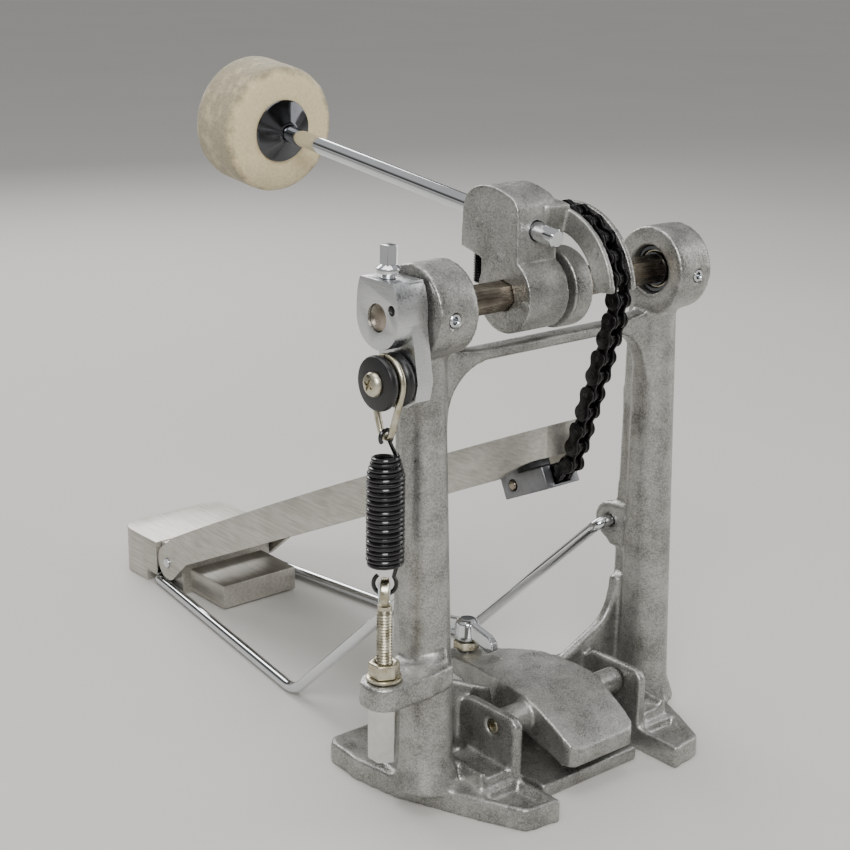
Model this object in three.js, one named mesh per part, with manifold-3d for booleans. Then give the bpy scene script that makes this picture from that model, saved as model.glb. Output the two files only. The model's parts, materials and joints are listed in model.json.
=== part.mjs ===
// Bass drum pedal: a chain-driven single pedal with a cast frame, a hex axle, a felt beater and a
// footboard hinged on a heel plate. Millimetres, +Z up. The origin lies on the floor midway between
// the two posts, straight below the axle. X runs along the axle, the player's side is +Y and the
// drum's side is -Y. The tension spring hangs on the outer side of the -X post.
import * as THREE from 'three';
import { mergeVertices } from 'three/addons/utils/BufferGeometryUtils.js';
import Module from 'manifold-3d';

const wasm = await Module();
wasm.setup();

// ---------------------------------------------------------------- driving dimensions
const GAP = 0.3; // clearance between neighbouring pieces

const AXLE_Z = 200; // axle height above the floor
const AXLE_FLATS = 10; // hexagon across flats
const HEX_R = AXLE_FLATS / 2 / Math.cos(Math.PI / 6);

const POST_X = 62; // post centre from the middle
const POST_Y = 4;
const POST_TOP_HALF = 8.3;
const POST_FOOT_HALF = 10.6;
const BEARING_R = HEX_R + 3.7;
const BEARING_WIDTH = 7;
const HOUSING_WALL = 8; // metal around a bearing
const HOUSING_R = BEARING_R + HOUSING_WALL;
const HOUSING_LENGTH = 18;
const HOUSING_SHIFT = -5; // both housings sit this far toward the spring side of their posts' feet
const HOUSING_OUT = POST_X - HOUSING_SHIFT + HOUSING_LENGTH / 2; // outer face of the left one
const BEARING_SET = 2; // how deep a bearing sits in its housing
const housingX = (side) => side * POST_X + HOUSING_SHIFT;
const bearingX = (side) => housingX(side) - side * (HOUSING_LENGTH / 2 - BEARING_SET - BEARING_WIDTH / 2);
const setScrewX = (side) => housingX(side) + side * 2;
const SET_SCREW_R = 2.4;

const BASE_H = 9.5; // thickness of the two feet
const BRIDGE_H = 6; // thickness of the plate that joins them
const BASE_REAR = 54;
const TIP_FRONT = 43; // how far the feet reach toward the drum
const CHEEK_X = 33; // inner face of the clamp cheeks
const CHEEK_WALL = 4.5;
const CROSSBAR_Z = AXLE_Z - 21.5;
const CROSSBAR_HALF = 2.4; // half the rib's height in the middle

const CLAMP_Y = -7; // clamp lever pivot
const CLAMP_Z = 27.5;
const CLAMP_HALF = 18;
const PIVOT_R = 3;
const WING_Y = CLAMP_Y + 57;
const WING_STEM_R = 3;

const HUB_R = 14.5;
const HUB_LEFT = -31; // left face of the beater hub
const HUB_SLOT = -11; // where the clamp slot starts
const HUB_RIGHT = 1;
const HUB_COLLAR_R = HUB_R + 1; // the part of the hub right of the clamp slot
const HOLDER_REAR = 13; // back of the barrel's upright wall
const CLAMP_BOLT_X = -25.5;
const CLAMP_BOLT_Y = 19;
const CLAMP_BOLT_R = 2.8;

const CHAIN_PITCH = 8;
const CHAIN_R = 29; // radius of the chain's pitch line on the sector
const CHAIN_OFF = -17.2; // angle where the chain leaves the sector, below the horizontal
const WRAP_LINKS = 8; // links that lie on the sector at rest
const FREE_LINKS = 5; // of these, the ones that come off it in a full stroke
const SPAN_LINKS = 7; // straight links between the sector and the footboard
const PLATE_HALF = 3.4; // half the height of a chain plate
const PLATE_WALL = 1;
const INNER_PLATE = 1.4; // inner faces of the inner and outer plates
const OUTER_PLATE = 2.7;
const CHAIN_HALF = 4.1; // half the length of a chain pin
const CHAIN_PIN_R = 1.2;
const CHAIN_ROLLER_R = 2.5;
const SECTOR_R = CHAIN_R + 2.8;
const SECTOR_START = 5; // the sector's lower end, above the horizontal
const FLANGE = 2.4;
const linkAngle = (2 * Math.asin(CHAIN_PITCH / 2 / CHAIN_R) * 180) / Math.PI;
const SECTOR_END = CHAIN_OFF + WRAP_LINKS * linkAngle + 2.4; // the sector's upper end, past the last pin

const SHAFT_R = 3.5;
const SHAFT_LEAN = 83; // beater shaft from the vertical, at rest
const SHAFT_X = -21;
const SHAFT_Y = 31.4; // a point of the shaft's axis behind the holder
const SHAFT_Z = AXLE_Z + 28.7;
const SHAFT_FRONT = -49; // the shaft's drum-side end along its axis, from that point
const FELT_FRONT = 124;
const FELT_THICK = 27;
const FELT_DEPTH = 19; // how far the shaft reaches into the felt
const FELT_R = 27.4;
const COLLAR_R = 13.6;

const ROCKER_FACE = HOUSING_OUT + 15; // the rocker's outer face and the faces of its arm
const ARM_OUT = -HOUSING_OUT - 8.5;
const ARM_IN = -HOUSING_OUT - 1.5;
const STUB_R = AXLE_FLATS / 2 - 0.1; // the axle's turned end inside the rocker
const KEY_SCREW_R = 2.5;
const GRUB_SCREW_R = 1.6;
const ROLLER_Y = -5; // spring roller on the rocker's arm
const ROLLER_Z = AXLE_Z - 22;
const ROLLER_R = 10;
const ROLLER_SCREW_R = 2.6;
const SPRING_X = ARM_OUT - 6;
const GROOVE = 2.4; // depth of the roller's groove
const LINK_WIRE_R = 1;
const LINK_EYE_R = 3.4;
const LINK_EYE_Z = ROLLER_Z - 17;
const SPRING_WIRE_R = 0.95;
const SPRING_R = 7.2;
const SPRING_PITCH = 2.075;
const EYE_Z = 98.4; // hole of the eye bolt
const SPRING_TOP = LINK_EYE_Z - 10.5;
const SPRING_BOTTOM = EYE_Z + 10.6;
const LUG_Z = 54;
const LUG_H = 9.5;
const LUG_R = 9.5;
const THREAD_R = 3;
const NUT_R = THREAD_R + 3.1;

const HEEL_PIN_Y = 245;
const HEEL_PIN_Z = 16;
const HEEL_PIN_R = 2.5;
const HEEL_HALF = 31;
const HEEL_H = 24;
const HEEL_REAR = HEEL_PIN_Y + 46;
const HEEL_TONGUE = 38; // how far the heel plate reaches forward under the board
const SKIRT = 3.2; // wall of the footboard's side skirts
const SKIRT_DEPTH = 17;
const DECK = 3.6;
const CROWN = 1.6; // rise of the footboard above a straight line
const TOE_HALF = 11;
const BOARD_HALF = HEEL_HALF + 5;
const BLOCK_HALF = 9; // half the width of the chain anchor block

const ROD_R = 2.5;
const ROD_EAR_X = POST_X - 6.5;
const ROD_EAR_Y = POST_Y + 16;
const ROD_EAR_Z = 86;
const ROD_BEND_X = ROD_EAR_X - 5.5;
const ROD_BEND_Y = 108;

// ---------------------------------------------------------------- finishes
function finish(color, roughness, metalness) {
  return new THREE.MeshStandardMaterial({ color, roughness, metalness });
}
const castAluminium = finish(0xa3a39f, 0.45, 0.9);
const satinAluminium = finish(0xc9c9c4, 0.35, 0.9);
const brushedAluminium = finish(0xb9bab8, 0.3, 1);
const greyAluminium = finish(0x8a8c8c, 0.4, 0.9);
const chrome = finish(0xdadde0, 0.08, 1);
const zincPlate = finish(0xb5ab8d, 0.3, 1);
const dullSteel = finish(0x8d8578, 0.4, 1);
const blackOxide = finish(0x1b1b1c, 0.35, 0.7);
const blackNylon = finish(0x141414, 0.4, 0);
const clearNylon = finish(0xd9dcd8, 0.4, 0);
const creamFelt = finish(0xded2b4, 0.95, 0);

// ---------------------------------------------------------------- solids
const group = new THREE.Group();
const deg = (angle) => (angle * Math.PI) / 180;

function closed(geometry) {
  const bare = geometry.index ? geometry.toNonIndexed() : geometry.clone();
  for (const name of Object.keys(bare.attributes)) if (name !== 'position') bare.deleteAttribute(name);
  const merged = mergeVertices(bare, 1e-4);
  const triangles = [];
  for (let i = 0; i < merged.index.count; i += 3) {
    const [a, b, c] = [0, 1, 2].map((k) => merged.index.getX(i + k));
    if (a !== b && b !== c && c !== a) triangles.push(a, b, c);
  }
  const vertProperties = new Float32Array(merged.attributes.position.array);
  const triVerts = new Uint32Array(triangles);
  return new wasm.Manifold(new wasm.Mesh({ numProp: 3, vertProperties, triVerts }));
}

const join = (...parts) => parts.reduce((sum, part) => sum.add(part));
const cut = (body, ...tools) => tools.reduce((rest, tool) => rest.subtract(tool), body);

function addPiece(name, solid, material) {
  const mesh = solid.getMesh();
  const geometry = new THREE.BufferGeometry();
  geometry.setAttribute('position', new THREE.BufferAttribute(mesh.vertProperties, 3));
  geometry.setIndex(new THREE.BufferAttribute(mesh.triVerts, 1));
  const piece = new THREE.Mesh(geometry, material);
  piece.name = name;
  group.add(piece);
  return piece;
}

function box(x0, x1, y0, y1, z0, z1) {
  const geometry = new THREE.BoxGeometry(x1 - x0, y1 - y0, z1 - z0);
  return closed(geometry.translate((x0 + x1) / 2, (y0 + y1) / 2, (z0 + z1) / 2));
}

// A round bar along X, Y or Z; a and b are its ends and (u, v) its other two coordinates in order.
function barX(radius, a, b, y, z, sides = 24) {
  const geometry = new THREE.CylinderGeometry(radius, radius, b - a, sides);
  return closed(geometry.rotateZ(-Math.PI / 2).translate((a + b) / 2, y, z));
}
function barY(radius, a, b, x, z, sides = 24) {
  const geometry = new THREE.CylinderGeometry(radius, radius, b - a, sides);
  return closed(geometry.translate(x, (a + b) / 2, z));
}
function barZ(radius, a, b, x, y, sides = 24) {
  const geometry = new THREE.CylinderGeometry(radius, radius, b - a, sides);
  return closed(geometry.rotateX(Math.PI / 2).translate(x, y, (a + b) / 2));
}

const outline = (points) => new THREE.Shape(points.map(([u, v]) => new THREE.Vector2(u, v)));

function extrude(shape, depth) {
  return new THREE.ExtrudeGeometry(shape, { depth, bevelEnabled: false, curveSegments: 8 });
}
const turned = new THREE.Matrix4().set(0, 0, 1, 0, 1, 0, 0, 0, 0, 1, 0, 0, 0, 0, 0, 1);
// A (y, z) outline carried along X, an (x, z) outline along Y and an (x, y) outline along Z.
const alongX = (shape, x0, x1) => closed(extrude(shape, x1 - x0).applyMatrix4(turned).translate(x0, 0, 0));
const alongY = (shape, y0, y1) => closed(extrude(shape, y1 - y0).rotateX(Math.PI / 2).translate(0, y1, 0));
const alongZ = (shape, z0, z1) => closed(extrude(shape, z1 - z0).translate(0, 0, z0));

// A turned piece: the profile is a list of [radius, height], on the axis at both ends or closed.
function lathe(profile, sides) {
  const points = profile.map(([radius, height]) => new THREE.Vector2(radius, height));
  return new THREE.LatheGeometry(points, sides);
}
const latheX = (profile, x, y, z, sides = 24) => {
  return closed(lathe(profile, sides).rotateZ(-Math.PI / 2).translate(x, y, z));
};
const latheZ = (profile, x, y, z, sides = 24) => {
  return closed(lathe(profile, sides).rotateX(Math.PI / 2).translate(x, y, z));
};

function ringProfile(inner, outer, half) {
  return [[inner, -half], [outer, -half], [outer, half], [inner, half], [inner, -half]];
}

function wire(curve, radius, steps, sides = 6) {
  const circle = Array.from({ length: sides }, (_, k) => {
    const angle = (2 * Math.PI * k) / sides;
    return [radius * Math.cos(angle), radius * Math.sin(angle)];
  });
  const options = { steps, bevelEnabled: false, extrudePath: curve };
  return closed(new THREE.ExtrudeGeometry(outline(circle), options));
}

// A bar that changes its section evenly between two heights.
function tapered(lower, upper, z0, z1) {
  const count = lower.length;
  const positions = [];
  lower.forEach(([x, y]) => positions.push(x, y, z0));
  upper.forEach(([x, y]) => positions.push(x, y, z1));
  const faces = THREE.ShapeUtils.triangulateShape(lower.map(([x, y]) => new THREE.Vector2(x, y)), []);
  const index = [];
  faces.forEach(([a, b, c]) => index.push(a, c, b, a + count, b + count, c + count));
  for (let i = 0; i < count; i++) {
    const next = (i + 1) % count;
    index.push(i, next, next + count, i, next + count, i + count);
  }
  const geometry = new THREE.BufferGeometry();
  geometry.setAttribute('position', new THREE.BufferAttribute(new Float32Array(positions), 3));
  geometry.setIndex(index);
  return closed(geometry);
}

const mirrored = (points, side) => (side > 0 ? points : points.map(([x, y]) => [-x, y]).reverse());

// ---------------------------------------------------------------- frame casting
// Round toward the drum, with a narrower web toward the player.
function postSection(half, front, rear, side, shift = 0) {
  const arc = Array.from({ length: 11 }, (_, k) => {
    const angle = Math.PI + (Math.PI * k) / 10;
    return [half * Math.cos(angle), front * Math.sin(angle)];
  });
  const web = [[half, rear * 0.25], [half * 0.45, rear * 0.5], [half * 0.35, rear]];
  const webBack = [[-half * 0.35, rear], [-half * 0.45, rear * 0.5], [-half, rear * 0.25]];
  return [...arc, ...web, ...webBack].map(([x, y]) => [x + side * POST_X + shift, y + POST_Y]);
}

function frameHalf(side) {
  const at = (a, b) => (side > 0 ? [a, b] : [-b, -a]);
  const across = (a, b) => [housingX(side) + side * a, housingX(side) + side * b].sort((p, q) => p - q);
  const housingHalf = HOUSING_LENGTH / 2;
  const housing = barX(HOUSING_R, ...across(-housingHalf, housingHalf), 0, AXLE_Z, 40);
  const post = tapered(
    postSection(POST_FOOT_HALF, 12, 17, side),
    postSection(POST_TOP_HALF, 9, 12, side, HOUSING_SHIFT),
    BASE_H - 2,
    AXLE_Z - HOUSING_R * 0.4,
  );
  const flare = tapered(
    postSection(POST_FOOT_HALF + 3.5, 15, 20, side),
    postSection(POST_FOOT_HALF - 0.4, 11.6, 16.6, side),
    BASE_H - 2,
    BASE_H + 9,
  );
  const plan = [
    [CHEEK_X, -TIP_FRONT], [POST_X - 14, -TIP_FRONT + 2], [POST_X - 12, -TIP_FRONT + 4], [POST_X - 4, -22],
    [POST_X + 4, POST_Y - 7], [POST_X + 10, POST_Y + 8], [POST_X + 13, 32], [POST_X + 12, BASE_REAR - 4],
    [POST_X + 8, BASE_REAR], [POST_X - 16, BASE_REAR], [POST_X - 19, BASE_REAR - 4], [POST_X - 20, 34],
    [CHEEK_X, 28],
  ];
  const foot = alongZ(outline(mirrored(plan, side)), 0, BASE_H);
  const cheekTop = CLAMP_Z + 7.5;
  const cheekSide = [
    [CLAMP_Y - 14, 3], [CLAMP_Y - 14, cheekTop - 3], [CLAMP_Y - 11, cheekTop],
    [CLAMP_Y + 15, cheekTop], [CLAMP_Y + 20, cheekTop - 5], [CLAMP_Y + 20, 3],
  ];
  const cheek = alongX(outline(cheekSide), ...at(CHEEK_X, CHEEK_X + CHEEK_WALL));
  const platform = box(...at(CHEEK_X + 1, POST_X - 11), -19, 6, 3, BASE_H + 4.5);
  const rim = box(...at(POST_X - 12, POST_X - 9), -19, 4, 3, BASE_H + 7);
  const earX = at(ROD_EAR_X - 2.5, ROD_EAR_X + 2.5);
  const earR = ROD_R + 6;
  const ear = barX(earR, ...earX, ROD_EAR_Y, ROD_EAR_Z, 24);
  const earRoot = box(...earX, POST_Y, ROD_EAR_Y, ROD_EAR_Z - earR - 2.5, ROD_EAR_Z + earR);
  const pocket = [
    [CHEEK_X + 3, -22], [CHEEK_X + 3, -TIP_FRONT + 3.5], [POST_X - 15.5, -TIP_FRONT + 5],
    [POST_X - 9, -24], [POST_X - 8, -22],
  ];
  const tipPocket = alongZ(outline(mirrored(pocket, side)), BASE_H - 3.5, BASE_H + 1);
  const seatEnd = BEARING_SET + BEARING_WIDTH + GAP - housingHalf;
  const seat = barX(BEARING_R + GAP, ...across(-housingHalf - 1, seatEnd), 0, AXLE_Z, 32);
  const bore = barX(BEARING_R - 2, ...across(-housingHalf - 1, housingHalf + 1), 0, AXLE_Z, 24);
  const setScrew = barY(SET_SCREW_R + GAP, -HOUSING_R - 1, -BEARING_R, setScrewX(side), AXLE_Z - 1, 16);
  const rodHole = barX(ROD_R + 0.5, ...at(ROD_EAR_X - 4, ROD_EAR_X + 4), ROD_EAR_Y, ROD_EAR_Z, 16);
  const pivot = barX(PIVOT_R + GAP, ...at(CHEEK_X - 1, CHEEK_X + CHEEK_WALL + 1), CLAMP_Y, CLAMP_Z, 16);
  return cut(join(housing, post, flare, foot, cheek, platform, rim, ear, earRoot),
    tipPocket, seat, bore, setScrew, rodHole, pivot);
}

// The rib between the posts under the axle, with a curved gusset at each end.
function crossbar() {
  const reach = POST_X - 4;
  const face = POST_X - POST_TOP_HALF;
  const top = CROSSBAR_Z + CROSSBAR_HALF;
  const bottom = CROSSBAR_Z - CROSSBAR_HALF;
  const shape = new THREE.Shape();
  shape.moveTo(-reach, top + 3.6);
  shape.quadraticCurveTo(-reach + 14, top + 0.2, -reach + 24, top);
  shape.lineTo(reach - 24, top);
  shape.quadraticCurveTo(reach - 14, top + 0.2, reach, top + 3.6);
  shape.lineTo(reach, bottom - 23.6);
  shape.lineTo(face, bottom - 21.6);
  shape.quadraticCurveTo(face - 2, bottom - 2.6, face - 19, bottom);
  shape.lineTo(-face + 19, bottom);
  shape.quadraticCurveTo(-face + 2, bottom - 2.6, -face, bottom - 21.6);
  shape.lineTo(-reach, bottom - 23.6);
  return alongY(shape, POST_Y - 5, POST_Y + 3).translate([HOUSING_SHIFT * 0.85, 0, 0]);
}

// The low web behind the clamp, rising into both posts.
function rearWeb() {
  const inner = POST_X - POST_FOOT_HALF;
  const low = 10; // underside of its middle above the bridge
  const shape = new THREE.Shape();
  shape.moveTo(-inner - 6, 2);
  shape.lineTo(-inner - 6, 64);
  shape.lineTo(-inner, 62);
  shape.quadraticCurveTo(-inner + 1, 45, -inner + 12, 41);
  shape.lineTo(-CLAMP_HALF - 2, 32);
  shape.lineTo(-CLAMP_HALF + 1, BRIDGE_H + low);
  shape.lineTo(CLAMP_HALF - 1, BRIDGE_H + low);
  shape.lineTo(CLAMP_HALF + 2, 32);
  shape.lineTo(inner - 12, 41);
  shape.quadraticCurveTo(inner - 1, 45, inner, 62);
  shape.lineTo(inner + 6, 64);
  shape.lineTo(inner + 6, 2);
  return alongY(shape, POST_Y + 8, POST_Y + 13);
}

const bridge = box(-CHEEK_X - 4, CHEEK_X + 4, -14, BASE_REAR + 4, 0, BRIDGE_H);
const lowerJaw = box(-27, 27, -27, -12, 0, BRIDGE_H);
// The lug that carries the tension adjuster, round about its hole.
const lugPlan = [
  [-POST_X, ROLLER_Y + 19], [-POST_X, ROLLER_Y - 7], [-POST_X - 12, ROLLER_Y - LUG_R + 0.5],
  [SPRING_X, ROLLER_Y - LUG_R],
];
for (let k = 1; k < 8; k++) {
  const angle = deg(270 - (180 * k) / 8);
  lugPlan.push([SPRING_X + LUG_R * Math.cos(angle), ROLLER_Y + LUG_R * Math.sin(angle)]);
}
lugPlan.push([SPRING_X, ROLLER_Y + LUG_R], [-POST_X - 14, ROLLER_Y + 13]);
const lug = alongZ(outline(lugPlan), LUG_Z, LUG_Z + LUG_H);
const brace = [[-POST_X, LUG_Z + 14], [-POST_X, LUG_Z], [-POST_X - 18, LUG_Z], [-POST_X - 18, LUG_Z + LUG_H]];
const lugBrace = alongY(outline(brace), ROLLER_Y - 4, ROLLER_Y + 2);
const lugHole = barZ(THREAD_R + GAP, LUG_Z - 1, LUG_Z + LUG_H + 1, SPRING_X, ROLLER_Y, 20);
const frameBody = join(frameHalf(-1), frameHalf(1), crossbar(), rearWeb(), bridge, lowerJaw, lug, lugBrace);
addPiece('frame_casting', cut(frameBody, lugHole), castAluminium);

for (const [name, side] of [['left', -1], ['right', 1]]) {
  const x = bearingX(side);
  const half = BEARING_WIDTH / 2;
  const ring = (inner, outer, reach) => latheX(ringProfile(inner, outer, reach), x, 0, AXLE_Z, 28);
  addPiece(`bearing_outer_ring_${name}`, ring(BEARING_R - 1.6, BEARING_R, half), chrome);
  addPiece(`bearing_ball_cage_${name}`, ring(BEARING_R - 2.45, BEARING_R - 1.9, half * 0.4), zincPlate);
  const innerRing = cut(ring(HEX_R - 1, BEARING_R - 2.8, half), hexBar(x - half - 1, x + half + 1, GAP));
  addPiece(`bearing_inner_ring_${name}`, innerRing, chrome);

  const screw = barY(SET_SCREW_R, -HOUSING_R + 0.6, -BEARING_R - 1, setScrewX(side), AXLE_Z - 1, 16);
  const socket = barY(1.4, -HOUSING_R, -HOUSING_R + 4, setScrewX(side), AXLE_Z - 1, 6);
  addPiece(`housing_set_screw_${name}`, cut(screw, socket), dullSteel);

  const reach = (a, b) => (side > 0 ? [a, b] : [-b, -a]);
  const head = CHEEK_X + CHEEK_WALL - 0.6;
  const pivotScrew = barX(PIVOT_R, ...reach(CHEEK_X - 5, head), CLAMP_Y, CLAMP_Z, 16);
  const key = barX(PIVOT_R / 2, ...reach(head - 3, head + 1), CLAMP_Y, CLAMP_Z, 6);
  addPiece(`clamp_pivot_screw_${name}`, cut(pivotScrew, key), zincPlate);
}

function hexBar(x0, x1, clearance) {
  const radius = HEX_R + clearance;
  const corners = Array.from({ length: 6 }, (_, k) => {
    const angle = deg(60 * k + 12);
    return [radius * Math.cos(angle), AXLE_Z + radius * Math.sin(angle)];
  });
  return alongX(outline(corners), x0, x1);
}

// ---------------------------------------------------------------- axle and bearings
const AXLE_END = housingX(1) + HOUSING_LENGTH / 2 - 1;
const axleStub = barX(STUB_R, -ROCKER_FACE + 1, ARM_IN + 1, 0, AXLE_Z);
addPiece('hex_axle', join(hexBar(ARM_IN + GAP, AXLE_END, 0), axleStub), dullSteel);

// ---------------------------------------------------------------- beater hub with the chain sector
const onSector = (angle, radius) => [-radius * Math.cos(deg(angle)), AXLE_Z + radius * Math.sin(deg(angle))];

function sectorOutline(inner, outer, from, to, steps) {
  const points = [];
  for (let k = 0; k <= steps; k++) points.push(onSector(from + ((to - from) * k) / steps, outer));
  for (let k = steps; k >= 0; k--) points.push(onSector(from + ((to - from) * k) / steps, inner));
  return outline(points.reverse());
}

// Bottom of the chain's channel, under the middle of a link.
const FLOOR_R = CHAIN_R * Math.cos(deg(linkAngle / 2)) - PLATE_HALF - GAP;
const ARCH_R = FLOOR_R - 2.4; // inside of the sector's arch
const SECTOR_HALF = CHAIN_HALF + GAP + FLANGE;

function beaterHub() {
  const up = (height) => AXLE_Z + height;
  const block = new THREE.Shape();
  block.moveTo(-7, up(4));
  block.lineTo(-6.5, SHAFT_Z + 2.4);
  block.quadraticCurveTo(-6, SHAFT_Z + 7.4, 0, SHAFT_Z + 8.9);
  block.quadraticCurveTo(8, SHAFT_Z + 11.9, 15, SHAFT_Z + 10.4);
  block.quadraticCurveTo(23, SHAFT_Z + 8.4, 24, SHAFT_Z + 0.4);
  block.lineTo(24.5, SHAFT_Z - 13.6);
  block.lineTo(HOLDER_REAR, SHAFT_Z - 16.6);
  block.lineTo(HOLDER_REAR, up(4));
  const chainHalf = CHAIN_HALF + GAP;
  return cut(
    join(
      alongX(block, HUB_LEFT, HUB_SLOT),
      barX(HUB_R, HUB_LEFT, HUB_SLOT, 0, AXLE_Z, 36),
      barX(HUB_COLLAR_R, HUB_SLOT + 3, HUB_RIGHT, 0, AXLE_Z, 36),
      box(HUB_LEFT + 2, HUB_RIGHT, 5, HOLDER_REAR, up(2), up(13)),
      alongX(sectorOutline(ARCH_R, SECTOR_R + 2, 76, SECTOR_END, 8), HUB_SLOT - 6, -SECTOR_HALF + 1),
      box(-SECTOR_HALF, HUB_RIGHT, 8, HOLDER_REAR, up(8), up(FLOOR_R - 2)),
      alongX(sectorOutline(ARCH_R, SECTOR_R, SECTOR_START, SECTOR_END, 20), -SECTOR_HALF, SECTOR_HALF),
    ),
    alongX(sectorOutline(FLOOR_R, SECTOR_R + 5, SECTOR_START - 8, SECTOR_END + 8, 20), -chainHalf, chainHalf),
    hexBar(HUB_LEFT - 1, HUB_RIGHT + 1, 0.12),
  );
}

// Pieces on the beater shaft are made upright and then leaned over with it.
const leanMatrix = new THREE.Matrix4()
  .makeRotationX(-deg(SHAFT_LEAN))
  .setPosition(SHAFT_X, SHAFT_Y, SHAFT_Z);
function onShaft(profile, sides) {
  const geometry = lathe(profile, sides).rotateX(Math.PI / 2);
  return closed(geometry.applyMatrix4(leanMatrix));
}
const plug = (radius, z0, z1) => [[0, z0], [radius, z0], [radius, z1], [0, z1]];

const shaftHole = onShaft(plug(SHAFT_R + GAP, SHAFT_FRONT - 28, 60), 20);
const boltTop = SHAFT_Z - SHAFT_R - 4.7; // under the shaft, where the bolt presses
const boltHole = barZ(CLAMP_BOLT_R + GAP, AXLE_Z, boltTop + 0.6, CLAMP_BOLT_X, CLAMP_BOLT_Y, 16);
addPiece('beater_hub', cut(beaterHub(), shaftHole, boltHole), castAluminium);
const clampBolt = barZ(CLAMP_BOLT_R, boltTop - 19.4, boltTop, CLAMP_BOLT_X, CLAMP_BOLT_Y, 14);
addPiece('beater_clamp_bolt', clampBolt, blackOxide);
const shaftBack = FELT_FRONT + FELT_DEPTH;
addPiece('beater_shaft', onShaft([
  [0, SHAFT_FRONT], [SHAFT_R - 0.6, SHAFT_FRONT], [SHAFT_R, SHAFT_FRONT + 1], [SHAFT_R, shaftBack],
  [0, shaftBack],
], 20), chrome);
const collarBack = FELT_FRONT - GAP;
const bore = SHAFT_R + GAP;
addPiece('beater_collar', onShaft([
  [bore, collarBack - 9], [bore + 1.4, collarBack - 9], [bore + 2.7, collarBack - 6.5],
  [COLLAR_R - 0.4, collarBack - 1.6], [COLLAR_R, collarBack - 0.6], [COLLAR_R, collarBack],
  [bore, collarBack], [bore, collarBack - 9],
], 32), chrome);
const feltBack = FELT_FRONT + FELT_THICK;
addPiece('beater_felt', onShaft([
  [bore, FELT_FRONT], [FELT_R - 4, FELT_FRONT], [FELT_R - 1.2, FELT_FRONT + 1.2], [FELT_R, FELT_FRONT + 4],
  [FELT_R, feltBack - 5], [FELT_R - 1.5, feltBack - 1.5], [FELT_R - 5, feltBack], [0, feltBack],
  [0, shaftBack + GAP], [bore, shaftBack + GAP], [bore, FELT_FRONT],
], 40), creamFelt);

// ---------------------------------------------------------------- spring rocker on the axle's left end
const KEY_X = -ROCKER_FACE + 5;
const GRUB_Y = -8;
const GRUB_Z = AXLE_Z + 4;
function rocker() {
  const up = (height) => AXLE_Z + height;
  const head = new THREE.Shape();
  const radius = 11.6;
  head.moveTo(-radius, up(2));
  head.quadraticCurveTo(-radius, up(9), -8.5, up(13.5));
  head.lineTo(9.5, up(13.5));
  head.quadraticCurveTo(radius, up(10), radius, up(0));
  head.absarc(0, up(0), radius, 0, -Math.PI, true);
  const arm = [
    [9, up(13)], [11, up(0)], [9, up(-8)], [ROLLER_Y + 9.5, ROLLER_Z], [ROLLER_Y + 7, ROLLER_Z - 7],
    [ROLLER_Y + 2, ROLLER_Z - 10], [ROLLER_Y - 4, ROLLER_Z - 10], [ROLLER_Y - 8.5, ROLLER_Z - 7],
    [ROLLER_Y - 10, ROLLER_Z], [-11, up(0)], [-9, up(13)],
  ];
  return cut(
    join(alongX(head, -ROCKER_FACE, ARM_IN), alongX(outline(arm), ARM_OUT, ARM_IN)),
    barX(STUB_R + GAP, -ROCKER_FACE - 1, ARM_IN + 1, 0, AXLE_Z),
    barX(ROLLER_SCREW_R + GAP, ARM_OUT - 1, ARM_IN - 1.5, ROLLER_Y, ROLLER_Z, 16),
    barZ(KEY_SCREW_R + GAP, up(6.5), up(20), KEY_X, 0, 16),
    barX(GRUB_SCREW_R + GAP, -ROCKER_FACE - 1, -ROCKER_FACE + 4, GRUB_Y, GRUB_Z, 12),
  );
}
addPiece('spring_rocker', rocker(), brushedAluminium);
addPiece('rocker_key_screw', join(
  barZ(KEY_SCREW_R, AXLE_Z + 7.5, AXLE_Z + 17, KEY_X, 0, 16),
  latheZ([[0, 15.6], [4.4, 15.6], [4.4, 17.4], [2.6, 18.6], [0, 18.6]], KEY_X, 0, AXLE_Z, 16),
  box(KEY_X - 2.2, KEY_X + 2.2, -2.2, 2.2, AXLE_Z + 18, AXLE_Z + 25.5),
), chrome);
const grubFace = -ROCKER_FACE + 0.4;
addPiece('rocker_grub_screw', barX(GRUB_SCREW_R, grubFace, grubFace + 3.2, GRUB_Y, GRUB_Z, 12), blackOxide);

const ROLLER_IN = ARM_OUT - 0.5;
const ROLLER_OUT = SPRING_X - (ROLLER_IN - SPRING_X);
const rollerHalf = ROLLER_IN - SPRING_X;
const rollerBore = ROLLER_SCREW_R + GAP;
addPiece('spring_roller', latheX([
  [rollerBore, -rollerHalf], [ROLLER_R - 0.8, -rollerHalf], [ROLLER_R, -rollerHalf + 0.8], [ROLLER_R, -2],
  [ROLLER_R - GROOVE, -1], [ROLLER_R - GROOVE, 1], [ROLLER_R, 2], [ROLLER_R, rollerHalf - 0.8],
  [ROLLER_R - 0.8, rollerHalf], [rollerBore, rollerHalf], [rollerBore, -rollerHalf],
], SPRING_X, ROLLER_Y, ROLLER_Z, 32), blackNylon);
addPiece('roller_screw', join(
  barX(ROLLER_SCREW_R, ROLLER_OUT - 1, ARM_IN - 2, ROLLER_Y, ROLLER_Z, 16),
  latheX([[0, -2.7], [3, -2.4], [4.4, -1.4], [4.6, 0], [0, 0]], ROLLER_OUT - GAP, ROLLER_Y, ROLLER_Z, 20),
), zincPlate);

// ---------------------------------------------------------------- link, spring and tension adjuster
class Route extends THREE.Curve {
  constructor(place) {
    super();
    this.place = place;
  }
  getPoint(t) {
    return this.place(t);
  }
}

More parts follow.
